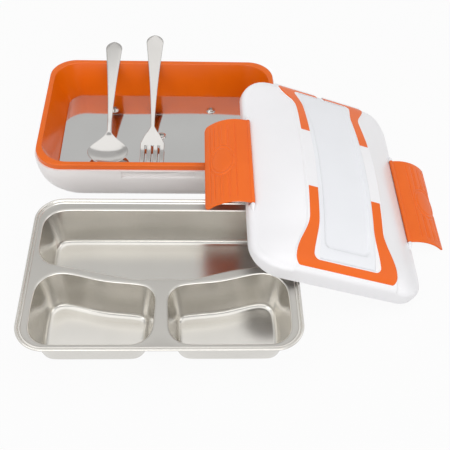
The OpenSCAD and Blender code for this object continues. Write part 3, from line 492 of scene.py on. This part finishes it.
def pocketPath(corners, bulges, arcSteps=12, sideSteps=14):
    # round corners joined by straight tangents, each bowed sideways by its bulge
    # gives back the points and their outward normals
    centres = np.array([c[:2] for c in corners], float)
    radii = np.array([c[2] for c in corners], float)
    ahead = np.roll(centres, -1, axis=0) - centres
    span = np.linalg.norm(ahead, axis=1)
    heading = np.arctan2(ahead[:, 1], ahead[:, 0])
    tilt = np.arcsin((np.roll(radii, -1) - radii) / span)
    facing = heading - np.pi / 2 - tilt  # outward direction of each tangent, going anticlockwise
    points = []
    for k in range(len(corners)):
        first, last = facing[k - 1], facing[k]
        last = first + (last - first) % (2 * np.pi)
        arc = np.linspace(first, last, arcSteps)
        points.append(centres[k] + radii[k] * np.column_stack([np.cos(arc), np.sin(arc)]))
        out = np.array([np.cos(facing[k]), np.sin(facing[k])])
        start = centres[k] + radii[k] * out
        stop = centres[(k + 1) % len(corners)] + radii[(k + 1) % len(corners)] * out
        share = np.linspace(0, 1, sideSteps + 1)[1:-1, None]
        bow = bulges[k] * np.sin(np.pi * share) ** 2
        points.append(start + (stop - start) * share + bow * out)
    points = np.vstack(points)
    for _ in range(3):  # eases the joins of arcs and tangents
        points = 0.5 * points + 0.25 * (np.roll(points, 1, axis=0) + np.roll(points, -1, axis=0))
    along = np.roll(points, -1, axis=0) - np.roll(points, 1, axis=0)
    along /= np.linalg.norm(along, axis=1)[:, None]
    return points, np.column_stack([along[:, 1], -along[:, 0]])


def makeTray(p):
    # pockets: a section of lip, leaning wall and rounded foot carried round each outline, with a level floor
    top = p["web"] + p["sheet"]
    section = softened([(p["land"], top), (0, top), (-p["lean"], p["floor"]),
                        (-p["lean"] - p["foot"] - p["floorIn"], p["floor"])], [p["lip"], p["foot"]], 8)
    sheets = []
    back = pocketPath(p["back"], p["backBow"])
    left = pocketPath(p["front"], p["frontBow"])
    right = (left[0][::-1] * [-1, 1], left[1][::-1] * [-1, 1])
    for outline, normal in (back, left, right):
        ring = outline[None] + normal[None] * section[:, 0, None, None]
        grid = np.dstack([ring, np.broadcast_to(section[:, 1, None], ring.shape[:2])])
        sheets.append((grid, False, True))
    # rim: a rolled bead, a groove beside it, a raised land and a soft step down to the web
    turn = np.radians(np.linspace(*p["beadTurn"], 18))
    outer = p["bead"] * np.column_stack([np.cos(turn) - 1, np.sin(turn) + 1])
    inner = softened([outer[-1], *p["rim"]], p["rimSoft"])
    line = np.vstack([outer, inner[1:]])
    step = line[:, 0]
    grid = ringed(p["halfX"] + step, p["halfY"] + step, p["corner"] + step, line[:, 1] + top,
                  roundWalk(16, 18))
    sheets.append((grid, False, True))

    def fillLevels(work):
        edges = [e for e in work.edges if e.is_boundary]
        heights = {e: (e.verts[0].co.z + e.verts[1].co.z) / 2 / mm for e in edges}
        web = [e for e in edges if abs(heights[e] - top) < p["near"]]
        bmesh.ops.triangle_fill(work, edges=web, use_beauty=True, normal=(0, 0, 1))
        floors = [e for e in edges if abs(heights[e] - p["floor"]) < p["near"]]
        bmesh.ops.holes_fill(work, edges=floors, sides=0)

    makePiece("trayBody", sheets, "tray", "tray_steel", ["food_tray"], moved(p["x"], p["y"], 0),
              fill=fillLevels, solid=p["sheet"])


makeTray(tray)


# Lid: a runs across it and b along it
lid = dict(x=157.1, y=-94.8, z=30.2, pitch=1, lean=19.6, halfA=82.6, halfB=119.1, corner=27.4, crest=35,
           radius=412, fall=0.02, fallFrom=105, edge=5, wall=2.2, hem=2.2, rimA=1.05, rimLow=6.4,
           waist=38.5, flare=11, flareFrom=70, flareTo=106, late=12, step=1.6, stepIn=1.5, stepOut=0.6,
           bow=1.6, sideTop=8.5, wellA=24, wellB=104, wellFloor=12, wellWall=2,
           seatA=26.5, seatNear=-106.6, seatFar=106.3, seatDeep=1.8, tabA=4.8, tabFar=115.9,
           notchA=77.3, notchMid=2, notchB=53.4, notchLow=5, notchIn=0.55, sill=1.2,
           columns=(0, 2.4, 11, 18), stepColumns=(-2, -1.6, 0.8), gap=0.01)
lug = dict(a=79.6, up=9.3, radius=1.9, low=6.4, rootA=78.8, rootUp=7.3,
           along=(0, 0.3, 3, 5, 8), swell=(0.9, 1, 1, 0.75, 0.2))
lidPlace = moved(lid["x"], lid["y"], lid["z"]) @ turned(0, lid["pitch"]) @ turned(1, lid["lean"])


def arch(b):
    # height of the crest along the lid: an arc of a large circle that falls off faster at both ends
    fall = lid["fall"] * np.maximum(np.abs(b) - lid["fallFrom"], 0) ** 2
    return np.sqrt(lid["radius"] ** 2 - b * b) - lid["radius"] + lid["crest"] - fall


def ease(value, low, high):
    # half a cosine wave from 0 to 1
    return (1 - np.cos(np.pi * np.clip((value - low) / (high - low), 0, 1))) / 2


def ridgeAt(b):
    # half width of the raised middle: it flares early at the near end and late at the far end
    late = np.where(b > 0, lid["late"], 0)
    return lid["waist"] + lid["flare"] * ease(np.abs(b), lid["flareFrom"] + late, lid["flareTo"] + late / 2)


def lidHeight(a, b):
    # the arch in the middle, a soft step down at the ridge, and bowed wings that fall to the long sides
    a = np.abs(a)
    ridge = ridgeAt(b)
    shoulder = arch(b) - lid["step"]
    share = np.clip((a - ridge) / (lid["halfA"] - lid["edge"] - ridge), 0, 1)
    wing = shoulder + (lid["sideTop"] - shoulder) * share + lid["bow"] * np.sin(np.pi * share)
    return arch(b) + (wing - arch(b)) * smooth(a, ridge - lid["stepIn"], ridge + lid["stepOut"])


def outwardAt(loop):
    # level outward direction at each point of a loop round the lid, away from its corners' axes
    axis = np.array([lid["halfA"] - lid["corner"], lid["halfB"] - lid["corner"]])
    out = loop[:, :2] - np.clip(loop[:, :2], -axis, axis)
    return out / np.maximum(np.linalg.norm(out, axis=1), 1e-6)[:, None]


def lidSkin(p, inner):
    # one skin of the lid: a grid over the top, and an edge band carried round the grid's border
    inset, thick, low, sill = (p["wall"], p["wellWall"], p["rimLow"], p["sill"]) if inner else (0, 0, 0, 0)

    def bothSides(*edges):  # a line just before and just after each edge
        return (np.array(edges)[:, None] + [-p["gap"], p["gap"]]).ravel()

    halfB, corner = p["halfB"] - p["edge"], p["corner"] - p["edge"]
    arcRows = np.radians(np.linspace(0, 90, 9)[1:])
    rows = np.sort(np.concatenate([
        np.linspace(-1, 1, 55) * (halfB - corner),
        halfB - corner + corner * np.sin(arcRows), corner - halfB - corner * np.sin(arcRows),
        bothSides(p["notchMid"] - p["notchB"], p["notchMid"] + p["notchB"], -p["wellB"] - thick,
                  p["wellB"] + thick, p["seatNear"], p["seatFar"], p["tabFar"])]))
    rows = rows[np.abs(rows) < halfB + 0.001]
    beyond = np.clip(np.abs(rows) - halfB + corner, 0, corner)
    border = p["halfA"] - p["edge"] - corner + np.sqrt(np.maximum(corner ** 2 - beyond ** 2, 0))
    notched = np.abs(rows - p["notchMid"]) < p["notchB"]
    edgeA = np.where(notched, p["notchA"] - thick * p["notchIn"], border)
    ridge = ridgeAt(rows)
    fixed = np.sort(np.concatenate([p["columns"], bothSides(p["tabA"], p["wellA"] + thick, p["seatA"])]))
    middleEnd, stepStart, stepEnd = p["stepColumns"]
    middle = fixed[-1] + (ridge + middleEnd - p["seatA"])[:, None] * np.linspace(0, 1, 5)[None, 1:]
    step = ridge[:, None] + np.linspace(stepStart, stepEnd, 8)[None]
    wing = ridge[:, None] + stepEnd + (edgeA - ridge - stepEnd)[:, None] * np.linspace(0, 1, 15)[None, 1:]
    half = np.hstack([np.tile(fixed, (len(rows), 1)), middle, step, wing])
    a = np.hstack([-half[:, :0:-1], half])
    b = np.repeat(rows[:, None], a.shape[1], axis=1)
    z = lidHeight(a, b) - inset
    seat = (np.abs(a) < p["seatA"]) & (b > p["seatNear"]) & (b < p["seatFar"])
    tab = (np.abs(a) < p["tabA"]) & (b > 0) & (b < p["tabFar"])
    well = (np.abs(a) < p["wellA"] + thick) & (np.abs(b) < p["wellB"] + thick)
    z = np.where(seat | tab, arch(b) - p["seatDeep"] - inset, z)
    z = np.where(well, p["wellFloor"] - thick, z)
    top = np.stack([a, b, z], -1)
    loop = gridBorder(top)
    side = gridBorder(np.repeat(notched[:, None], a.shape[1], axis=1))
    out = outwardAt(loop)
    out[side] = np.sign(loop[side, :1]) * [[1, 0]]
    turn = np.radians(np.linspace(0, 90, 7))
    offset = np.concatenate([(p["edge"] - inset) * np.sin(turn), [p["edge"] - inset] * 2])
    drop = np.concatenate([p["edge"] * (1 - np.cos(turn)), [p["edge"]] * 2])
    height = loop[None, :, 2] - drop[:, None]
    height[-2] = low if inner else np.minimum(height[-2], p["hem"])
    height[-1] = low
    across = np.repeat(offset[:, None], len(loop), axis=1)
    # where a latch is hinged, the side is cut back to an upright wall over a narrow ledge
    outShare = np.array([0, 0, 0, 0, 0, 0, 0, 1, 1])[:, None]
    downShare = np.array([0, 0.2, 0.4, 0.6, 0.8, 1, 1, 1, 1])[:, None]
    ledge = p["notchLow"] - sill
    across[:, side] = outShare * (p["halfA"] - inset - np.abs(loop[side, 0]))
    height[:, side] = loop[side, 2] + (ledge - loop[side, 2]) * downShare
    height[-1, side] = ledge if inner else 0
    if inner:
        height[:, side] = np.maximum(height[:, side], sill)
    band = np.dstack([loop[None, :, :2] + across[..., None] * out[None], height])
    return top, band


def makeLid(p, q):
    # two skins, the skirt's inside between them, and the four lugs of the latches' pins
    outerTop, outerBand = lidSkin(p, False)
    innerTop, innerBand = lidSkin(p, True)
    # the skirt's inside runs from the hollow's edge out to the thin rim, and down to the bottom
    lower = outerBand[-1].copy()
    lower[:, :2] -= outwardAt(lower) * p["rimA"]
    upper = lower.copy()
    upper[:, 2] = innerBand[-1, :, 2]
    under = np.stack([outerBand[-1], lower, upper, innerBand[-1]])
    sheets = [(outerTop, False, False), (outerBand, False, True), (innerTop, False, False),
              (innerBand, False, True), (under, False, True)]
    # each lug is a round top over a block, which shrinks towards its root in the lid
    turn = np.radians(np.linspace(0, 180, 13))
    top = np.column_stack([q["radius"] * np.cos(turn), q["up"] + q["radius"] * np.sin(turn)])
    profile = np.vstack([top, [[-q["radius"], q["low"]], [q["radius"], q["low"]]]])
    swell = np.array(q["swell"])[:, None]
    for side in (-1, 1):
        for end in (-1, 1):
            stations = p["notchMid"] + end * (p["notchB"] + np.array(q["along"]))
            x = side * (q["rootA"] + (q["a"] - q["rootA"] + profile[:, 0]) * swell)
            z = q["rootUp"] + (profile[:, 1] - q["rootUp"]) * swell
            grid = np.stack([x, stations[:, None] + 0 * x, z], -1)
            sheets.append((grid, False, True))
    makePiece("lidShell", sheets, "lid", "lid_white", ["lid_shell"], lidPlace, fill=capEnds)


makeLid(lid, lug)


# Inlays
inlay = dict(start=36.5, outer=36, inner=26.7, flare=12.3, innerFlare=5.4, flareFrom=66, flareTo=107.6,
             closeFrom=64, slim=0, end=115.9, bar=8.3, corner=8.3, innerCorner=5.3, proud=0.3, thick=1.4,
             soft=0.5, gap=4.8)
farInlay = dict(inlay, flareFrom=76, flareTo=112, slim=1.0)


def inlayEdge(p, half, flare, slim, end, corner, stop):
    # up the leg, which may slim down first, out along half a cosine wave, round the corner and along the bar
    top = end - corner
    leg = np.concatenate([np.linspace(p["start"], p["closeFrom"], 10)[:-1],
                          np.linspace(p["closeFrom"], top, 18)])
    narrow = slim * np.sin(np.pi * np.clip((leg - p["start"]) / (top - p["start"]), 0, 1)) ** 2
    side = np.column_stack([half - narrow + flare * ease(leg, p["flareFrom"], p["flareTo"]), leg])
    wide = side[-1, 0]
    arc = np.radians(np.linspace(0, 90, 11)[1:])
    bend = np.column_stack([wide - corner + corner * np.cos(arc), top + corner * np.sin(arc)])
    along = np.linspace(wide - corner, stop, 12)[1:]
    return np.vstack([side, bend, np.column_stack([along, np.full_like(along, end)])])


def makeInlay(name, p, far, node):
    # a band between two edges: its section has soft upper corners and follows the arch
    stop = p["gap"] if far else 0
    outer = inlayEdge(p, p["outer"], p["flare"], p["slim"], p["end"], p["corner"], stop)
    inner = inlayEdge(p, p["inner"], p["innerFlare"], 0, p["end"] - p["bar"], p["innerCorner"], stop)
    width = np.linalg.norm(outer - inner, axis=1)[:, None]
    turn = np.radians(np.linspace(0, 90, 5))
    rise = p["soft"] * np.sin(turn)
    step = p["soft"] * (1 - np.cos(turn))
    middle = np.linspace(0.15, 0.85, 5)
    share = np.hstack([0 * width, step / width, 0 * width + middle, 1 - step[::-1] / width, 1 + 0 * width])
    height = np.concatenate([[-p["thick"]], p["proud"] - p["soft"] + rise, np.full_like(middle, p["proud"]),
                             p["proud"] - p["soft"] + rise[::-1], [-p["thick"]]])
    flat = outer[:, None] + (inner - outer)[:, None] * share[..., None]
    sheets = []
    for side in (-1, 1):
        b = flat[..., 1] if far else -flat[..., 1]
        grid = np.stack([side * flat[..., 0], b, arch(b) + height], -1)
        sheets.append((grid, False, True))
    makePiece(name, sheets, "lid", "accent_orange", [node], lidPlace, fill=capEnds)


makeInlay("nearInlay", inlay, False, "near_inlay")
makeInlay("farInlay", farInlay, True, "far_inlay")


# Cutlery cover
cover = dict(half=26.46, near=-104.4, far=106, tab=4.5, tabFar=115.9, tabCorner=2, thick=1.6, soft=0.4,
             corner=2, nose=1.1, noseDeep=0.5, noseFrom=1.2, dish=2, dishHalf=22.6, dishEnd=95.5,
             dishCorner=7, dishEdge=(-0.4, 2.2), farHalf=25.4, widens=(45, 80), fades=(60, 104), fade=0.7,
             barrel=1.6, barrelSoft=0.3, pin=0.9, pinOut=2.5)


def makeCover(p):
    # a sheet on the arch, row by row: each row's section has soft edges, and a long dish sinks into it
    turn = np.radians(np.linspace(0, 90, 6))
    out, back = np.sin(turn[1:]), np.cos(turn[1:])
    straightEnd, tabEnd = p["far"] - p["corner"], p["tabFar"] - p["tabCorner"]
    plan = np.concatenate([p["near"] - p["nose"] * np.sin(turn[::-1]),
                           np.linspace(p["near"] + 1, straightEnd, 130), straightEnd + p["corner"] * out])
    half = np.full_like(plan, p["half"])
    half[-5:] += p["corner"] * (back - 1)
    tabPlan = np.concatenate([[p["far"]], np.linspace(p["far"] + 1, tabEnd, 6),
                              tabEnd + p["tabCorner"] * out])
    tabHalf = np.full_like(tabPlan, p["tab"])
    tabHalf[-5:] += p["tabCorner"] * (back - 1)
    b = np.concatenate([plan, tabPlan])[:, None]
    reach = np.concatenate([half, tabHalf])[:, None]
    rise = p["soft"] * np.sin(turn)
    step = p["soft"] * (1 - np.cos(turn))
    inner = np.linspace(-1, 1, 61)[None, 1:-1] * (reach - p["soft"])
    a = np.hstack([-reach + step, inner, reach - step[::-1], reach, -reach])
    wide = p["dishHalf"] + (p["farHalf"] - p["dishHalf"]) * smooth(b, *p["widens"])
    beyond = np.hypot(np.maximum(np.abs(a) - wide + p["dishCorner"], 0),
                      np.maximum(-b - p["dishEnd"] + p["dishCorner"], 0))
    deep = p["dish"] * (1 - p["fade"] * smooth(b, *p["fades"]))
    dish = deep * smooth(p["dishCorner"] - beyond, *p["dishEdge"])
    top = np.concatenate([rise - p["soft"], np.zeros(inner.shape[1]), rise[::-1] - p["soft"],
                          [-p["thick"]] * 2])
    nose = p["noseDeep"] * smooth(p["near"] - b, 0, p["noseFrom"])
    upper = np.stack([a, b + 0 * a, arch(b) + top - dish - nose], -1)
    face = upper[:, :-2]
    lower = face.copy()
    lower[..., 2] = arch(b) - p["thick"] - dish[:, :-2]
    sheets = [(face, False, False), (lower, False, False),
              (np.stack([gridBorder(face), gridBorder(lower)]), False, True)]
    # the hinge's barrel, and the pin that stands out of its ends
    half, ends = p["half"], p["half"] - p["barrelSoft"]
    barrel = rod([-half, -ends, ends, half], p["barrel"] * np.array([0.85, 1, 1, 0.85]))
    pin = rod([-half - p["pinOut"], half + p["pinOut"]], [p["pin"]] * 2)
    for along, across, up in (barrel, pin):
        grid = np.stack([along, p["near"] + across, arch(p["near"]) - p["thick"] + up], -1)
        sheets.append((grid, False, True))
    makePiece("cutleryCover", sheets, "cutlery_cover", "cover_white", ["cutlery_cover"], lidPlace,
              fill=capEnds)


makeCover(cover)


# Latches
latch = dict(out=79.6, up=9.6, shift=2, length=106, chord=42, bulge=6.5, thick=1.8, barrel=2, plan=5,
             leftDroop=35, rightDroop=6.5, long=45, endSoft=0.6, lip=1.1,
             grooves=(13.5, 19.5, 21, 27, 29, 34, 38.5), grooveDeep=0.55, grooveWide=0.5, grooveStop=4,
             closeAt=(13.5, 20.25, 28, 34, 38.5), closeBy=1.1, ovalAt=26.8, ovalX=12.4, ovalY=19,
             ovalHigh=0.15, ovalEdge=(0.92, 1.08), rings=(0.8, 1.0), ringWide=0.045, ringDeep=1.1,
             hookIn=1.4, hookTurn=0.28, hook=1.0, hookLong=0.64)
latchRadius = latch["chord"] ** 2 / (8 * latch["bulge"]) + latch["bulge"] / 2


def latchSurface(p):
    # an arc plate with a round lip: the outer face has lengthwise grooves and a raised oval in its middle
    middle, drop = p["chord"] / 2, latchRadius - p["bulge"]
    start, stop = np.arctan2(drop, -middle), np.arctan2(drop, middle)
    halfLength = p["length"] / 2
    ends = halfLength - p["endSoft"] * (1 - np.sin(np.radians(np.linspace(0, 90, 6))))
    fine = np.linspace(-20.5, 20.5, 83) + 0.1  # rows that lie closer along the oval
    rows = np.concatenate([np.linspace(-1, 1, 71) * (halfLength - 1), fine, ends, -ends])
    rows = np.sort(rows)[:, None]
    beyond = np.clip((np.abs(rows) - halfLength + p["endSoft"]) / p["endSoft"], 0, 1)
    thin = p["thick"] / 2 * np.sqrt(np.clip(1 - beyond ** 2, 0.04, 1))
    cut = np.clip(np.abs(rows) - halfLength + p["plan"], 0, p["plan"])
    short = (p["plan"] - np.sqrt(np.maximum(p["plan"] ** 2 - cut ** 2, 0))) / p["long"]
    # distances from the pin along the plate, which lie closer at the grooves
    near = np.linspace(-1, 1, 9) * p["closeBy"]
    plain = np.concatenate([np.linspace(0, 15, 20), np.linspace(16, 36, 44), np.linspace(37, p["long"], 12)])
    plain = plain[np.min(np.abs(plain[:, None] - np.array(p["grooves"])), axis=1) > 1.2]
    stations = np.concatenate([plain, *[spot + near for spot in p["closeAt"]]])
    place = np.unique(np.round(stations, 3))[None]
    grooves = sum(np.exp(-((place - spot) / p["grooveWide"]) ** 2) for spot in p["grooves"])
    grooves = grooves * smooth(halfLength - p["grooveStop"] - np.abs(rows), 0, 3)
    oval = np.sqrt(((place - p["ovalAt"]) / p["ovalX"]) ** 2 + (rows / p["ovalY"]) ** 2)
    inside = 1 - smooth(oval, *p["ovalEdge"])
    rings = sum(np.exp(-((oval - at) / p["ringWide"]) ** 2) for at in p["rings"])
    relief = p["ovalHigh"] * inside - p["grooveDeep"] * (grooves * (1 - inside) + p["ringDeep"] * rings)
    angle = start + (stop - start) * place / p["long"] * (1 - short)

    def skin(reach):
        return np.stack([middle + reach * np.cos(angle), rows + 0 * angle, reach * np.sin(angle) - drop], -1)

    outer, inner = skin(latchRadius + thin + relief), skin(latchRadius - thin)
    tip = (outer[:, -1] + inner[:, -1]) / 2
    half = (outer[:, -1] - inner[:, -1]) / 2
    ahead = np.stack([np.sin(angle[:, -1]), 0 * angle[:, -1], -np.cos(angle[:, -1])], -1)
    ahead *= np.linalg.norm(half, axis=1)[:, None] * p["lip"]
    lip = [tip + half * np.cos(t) + ahead * np.sin(t) for t in np.linspace(0.3, np.pi - 0.3, 7)]
    section = np.concatenate([outer, np.stack(lip, 1), inner[:, ::-1]], 1)
    spans = np.array([-1, -0.985, 0.985, 1]) * halfLength
    along, x, z = rod(spans, p["barrel"] * np.array([0.85, 1, 1, 0.85]))
    barrel = np.stack([x, along, z], -1)
    along, x, z = rod(p["hookLong"] * spans, [p["hook"]] * 4)
    reach, turn = latchRadius - p["hookIn"], stop + p["hookTurn"]
    rib = np.stack([middle + reach * np.cos(turn) + x, along, reach * np.sin(turn) - drop + z], -1)
    return [(section, False, True), (barrel, False, True), (rib, False, True)]


def makeLatch(name, side, droop, node):
    # the same plate on both long sides, mirrored for the left one and turned down by its droop
    flip = np.diag([side, 1, 1, 1])
    place = lidPlace @ flip @ moved(latch["out"], latch["shift"], latch["up"]) @ turned(1, droop)
    makePiece(name, latchSurface(latch), node, "accent_orange", [node], place, fill=capEnds)


makeLatch("leftLatch", -1, latch["leftDroop"], "left_latch")
makeLatch("rightLatch", 1, latch["rightDroop"], "right_latch")


# Cutlery
rest = dict(edgeY=76.2, edgeZ=46, thick=1.6, seat=0.3)
spoon = dict(x=-53, length=156, head=27, headWide=17.5, neck=3.8, stand=11.6,
             bowlWide=41, bowlLong=40, radius=46, neckIn=3, widest=3, swellFrom=21, edge=20.5,
             edgeSoft=(-2, 1.5), rise=0.5, riseAt=26, riseLong=9, tipRise=4, tipFrom=6, tipLong=26,
             thin=0.8, thinFrom=18)
fork = dict(x=-8.9, length=165, head=36, headWide=18.6, neck=3.8, stand=10, wide=24.6, slot=1.9, bend=90,
            bendFrom=14, shoulder=42, swellFrom=8, swellLong=24, tineLong=31, tineTip=3, tineSlim=0.12,
            tipRise=4, tipFrom=2, tipLong=26)


def leanPlace(x, along, above, radius, stand):
    # hung on the rim's inner edge, dipping until the round underside just clears what it stands on
    lift = rest["thick"] / 2 + rest["seat"]
    reach = np.hypot(along, above + lift)
    depth = rest["edgeZ"] - radius - stand - rest["seat"]
    dip = np.degrees(np.arcsin(depth / reach) + np.arctan2(above + lift, along))
    return moved(x, rest["edgeY"], rest["edgeZ"]) @ turned(0, dip) @ moved(0, 0, lift)


def plateSection(half, place, lift, thick, count):
    # a flat section with round edges for each place: a flattened circle across, at the height that lift gives
    turn = np.linspace(0, 2 * np.pi, count + 1)[:-1]
    c, s = np.cos(turn), np.sin(turn)
    wide = np.sign(c) * np.abs(c) ** 0.55
    tall = np.sign(s) * np.abs(s) ** 0.75
    x = half[:, None] * wide
    z = lift(x, place[:, None]) + thick[:, None] / 2 * tall
    return np.stack([x, -place[:, None] + 0 * x, z], -1)


def headRows(p):
    # places along the first 6 mm of the handle's round end, close together at its tip
    return 6 * (1 - np.cos(np.radians(np.linspace(0, 90, 12)))) - p["head"]


def handleHalf(p, s, neckAt):
    # round end, then a taper to the neck that slows down as it gets thin
    endRadius = p["headWide"] / 2
    start = -p["head"]
    t = np.clip((s - start - endRadius) / (neckAt - start - endRadius), 0, 1)
    taper = p["neck"] / 2 + (endRadius - p["neck"] / 2) * (1 - t) ** 1.6
    tip = np.sqrt(np.maximum(endRadius ** 2 - np.minimum(s - start - endRadius, 0) ** 2, 0))
    return np.where(s < start + endRadius, tip, taper)


def makeSpoon(p):
    # handle and bowl in one: the half width is the wider of the two, and the bowl is a cap of a sphere
    end = p["length"] - p["head"]
    middle = end - p["bowlLong"] / 2
    above = np.sqrt(p["radius"] ** 2 - p["bowlWide"] ** 2 / 4)
    s = np.concatenate([headRows(p), np.linspace(7 - p["head"], middle - 24, 60),
                        np.linspace(middle - 23, end - 4, 40),
                        end - 3.5 * (1 - np.sin(np.radians(np.linspace(8, 90, 12))))])
    handle = handleHalf(p, s, middle - p["bowlLong"] / 2 + p["neckIn"])
    widest = middle + p["widest"]
    front = np.sqrt(np.maximum(1 - ((s - widest) / (end - widest)) ** 2, 0))
    bowlStart = middle - p["swellFrom"]
    swell = np.sin(np.pi / 2 * np.clip((s - bowlStart) / (widest - bowlStart), 0, 1)) ** 1.5
    back = handle + (p["bowlWide"] - p["neck"]) / 2 * swell
    half = np.maximum(np.where(s > widest, p["bowlWide"] / 2 * front, back), 0.05)

    def lift(x, place):
        # the bowl's cap inside its edge, a low rise at its root, and a tip that lifts
        along = place - middle
        away = np.hypot(x, along)
        cap = above - np.sqrt(p["radius"] ** 2 - np.minimum(away, p["edge"]) ** 2)
        root = p["rise"] * np.exp(-((along + p["riseAt"]) / p["riseLong"]) ** 2)
        tip = p["tipRise"] * (np.maximum(along + p["tipFrom"], 0) / p["tipLong"]) ** 2
        return cap * smooth(p["edge"] - away, *p["edgeSoft"]) + root + tip

    thick = rest["thick"] * np.where(s > middle - p["thinFrom"], p["thin"], 1)
    grid = plateSection(half, s, lift, thick, 56)
    place = leanPlace(p["x"], middle, above, p["radius"] + rest["thick"] / 2, p["stand"])
    makePiece("spoonPolished", [(grid, False, True)], "spoon", "cutlery_steel", ["spoon"], place,
              fill=capEnds, sharp=50)


def makeFork(p):
    # handle and shoulder in one, and four tines that follow the same wide arc
    reach = p["length"] - p["head"]
    shoulder = reach - p["shoulder"]
    centre, radius = shoulder + p["bendFrom"], p["bend"]
    s = np.concatenate([headRows(p), np.linspace(7 - p["head"], shoulder - 8, 60),
                        np.linspace(shoulder - 7, reach - 27.5, 30)])
    handle = handleHalf(p, s, shoulder - 4)
    swell = np.sin(np.pi / 2 * np.clip((s - shoulder + p["swellFrom"]) / p["swellLong"], 0, 1)) ** 1.25
    half = handle + (p["wide"] - p["neck"]) / 2 * swell

    def lift(x, place):
        # an arc from the shoulder on, level with the handle before it, and tips that lift
        away = np.clip(place - centre, -p["bendFrom"], 60)
        arc = radius - rest["thick"] - np.sqrt(radius ** 2 - away ** 2)
        tip = p["tipRise"] * (np.maximum(place - centre - p["tipFrom"], 0) / p["tipLong"]) ** 1.7
        return arc * smooth(place, shoulder - p["bendFrom"], shoulder) + tip + 0 * x

    handle = plateSection(np.maximum(half, 0.05), s, lift, np.full_like(s, rest["thick"]), 40)
    pitch = (p["wide"] + p["slot"]) / 4
    tine = (p["wide"] - 3 * p["slot"]) / 4
    tipAt = reach - p["tineTip"]
    along = np.concatenate([np.linspace(reach - p["tineLong"], tipAt, 24),
                            reach - p["tineTip"] * (1 - np.sin(np.radians(np.linspace(10, 90, 8))))])
    fade = np.clip((along - tipAt) / p["tineTip"], 0, 1)
    slim = 1 - p["tineSlim"] * smooth(along, reach - 30, reach)
    narrow = tine / 2 * slim * np.sqrt(1 - 0.96 * fade ** 2)
    prong = plateSection(narrow, along, lift, rest["thick"] * (1 - 0.5 * fade), 20)
    prongs = [prong + np.array([(k - 1.5) * pitch, 0, 0]) for k in range(4)]
    sheets = [(grid, False, True) for grid in (handle, *prongs)]
    place = leanPlace(p["x"], centre, radius - rest["thick"], radius + rest["thick"] / 2, p["stand"])
    makePiece("forkPolished", sheets, "fork", "cutlery_steel", ["fork"], place, fill=capEnds, sharp=50)


makeSpoon(spoon)
makeFork(fork)


# Finishes of the solids that stay
slotOf = {part["node"]: part["material_slot"] for part in frame["record"]["subparts"]}
for name, solid in nodes.items():
    finish = "lid_white" if name == "inner_panel" else slotOf[name]
    solid.data.materials.clear()
    solid.data.materials.append(finishes[finish].material)
print("stage: finishes on", len(nodes), "solids")


# Floor, backdrop and light
studio = dict(
    floor=6.0, floorTone=0.56, below=0.0002, share=0.94, level=0.52, white=1.0, gloss=0.9,
    backdrop=(0.35, 0.68),
    lamps=[  # name, place, aim, size and power of each
        ("topLamp", (0.05, -0.1, 1.5), (0.05, -0.1, 0), (2.2, 1.7), 9.4),
        ("keyLamp", (-1.2, -0.8, 1.2), (0.05, -0.1, 0), (0.9, 0.9), 3.4),
        ("sideLamp", (1.5, -0.2, 1.0), (0, 0, 0), (0.9, 0.9), 2.4),
        ("frontLamp", (0.1, -1.9, 0.8), (0.05, -0.1, 0), (2.4, 1.2), 14.5),
        ("backLamp", (0.1, 1.41, 1.6), (0.05, 0, 0), (2.0, 0.8), 0.5),
    ])


def makeFloor(p):
    # the floor keeps the object's shadow, and the camera, gloss and glass see most of it as white
    floor = Finish("floor_white", {"Base Color": (p["floorTone"],) * 3, "Roughness": 0.9})
    seen, glossy, through = floor.rays()
    glow = floor.node("ShaderNodeEmission", {}, {"Strength": p["white"]})
    share = p["share"] * (seen + p["gloss"] * glossy + through)
    plain = Value(floor, floor.shader.outputs[0])
    mixed = floor.node("ShaderNodeMixShader", {}, {0: share, 1: plain, 2: glow})
    floor.set(floor.tree.nodes["Material Output"], {"Surface": mixed})
    mesh = bpy.data.meshes.new("floor")
    r, z = p["floor"] / 2, -p["below"]
    mesh.from_pydata([(-r, -r, z), (r, -r, z), (r, r, z), (-r, r, z)], [], [(0, 1, 2, 3)])
    mesh.materials.append(floor.material)
    ground = addObject("floor", mesh)


def makeWorld(p):
    # gloss and glass see a backdrop that is white near the horizon and dims upwards
    world = bpy.data.worlds.new("studio")
    world.use_nodes = True
    bpy.context.scene.world = world
    sky = Wiring(world.node_tree)
    seen, glossy, through = sky.rays()
    facing = sky.node("ShaderNodeTexCoord", {}, {})
    height = sky.node("ShaderNodeSeparateXYZ", {}, {"Vector": facing}, out=2)
    dimmed = p["gloss"] * (1 - height.between(*p["backdrop"]))
    strength = sky.node("ShaderNodeMapRange", {}, {"Value": seen + dimmed * (glossy + through),
                                                   "To Min": p["level"], "To Max": p["white"]})
    sky.set(sky.tree.nodes["Background"], {"Color": (1, 1, 1), "Strength": strength})


def makeLamps(p):
    # soft area lamps, each turned to its aim
    for name, place, aim, size, power in p["lamps"]:
        data = bpy.data.lights.new(name, "AREA")
        data.shape = "RECTANGLE"
        data.size, data.size_y = size
        data.energy = power
        lamp = addObject(name, data)
        lamp.location = place
        lamp.rotation_mode = "QUATERNION"
        lamp.rotation_quaternion = (Vector(aim) - lamp.location).to_track_quat("-Z", "Y")


makeFloor(studio)
makeWorld(studio)
makeLamps(studio)
bpy.context.scene.view_settings.view_transform = "Standard"
print("stage: studio")
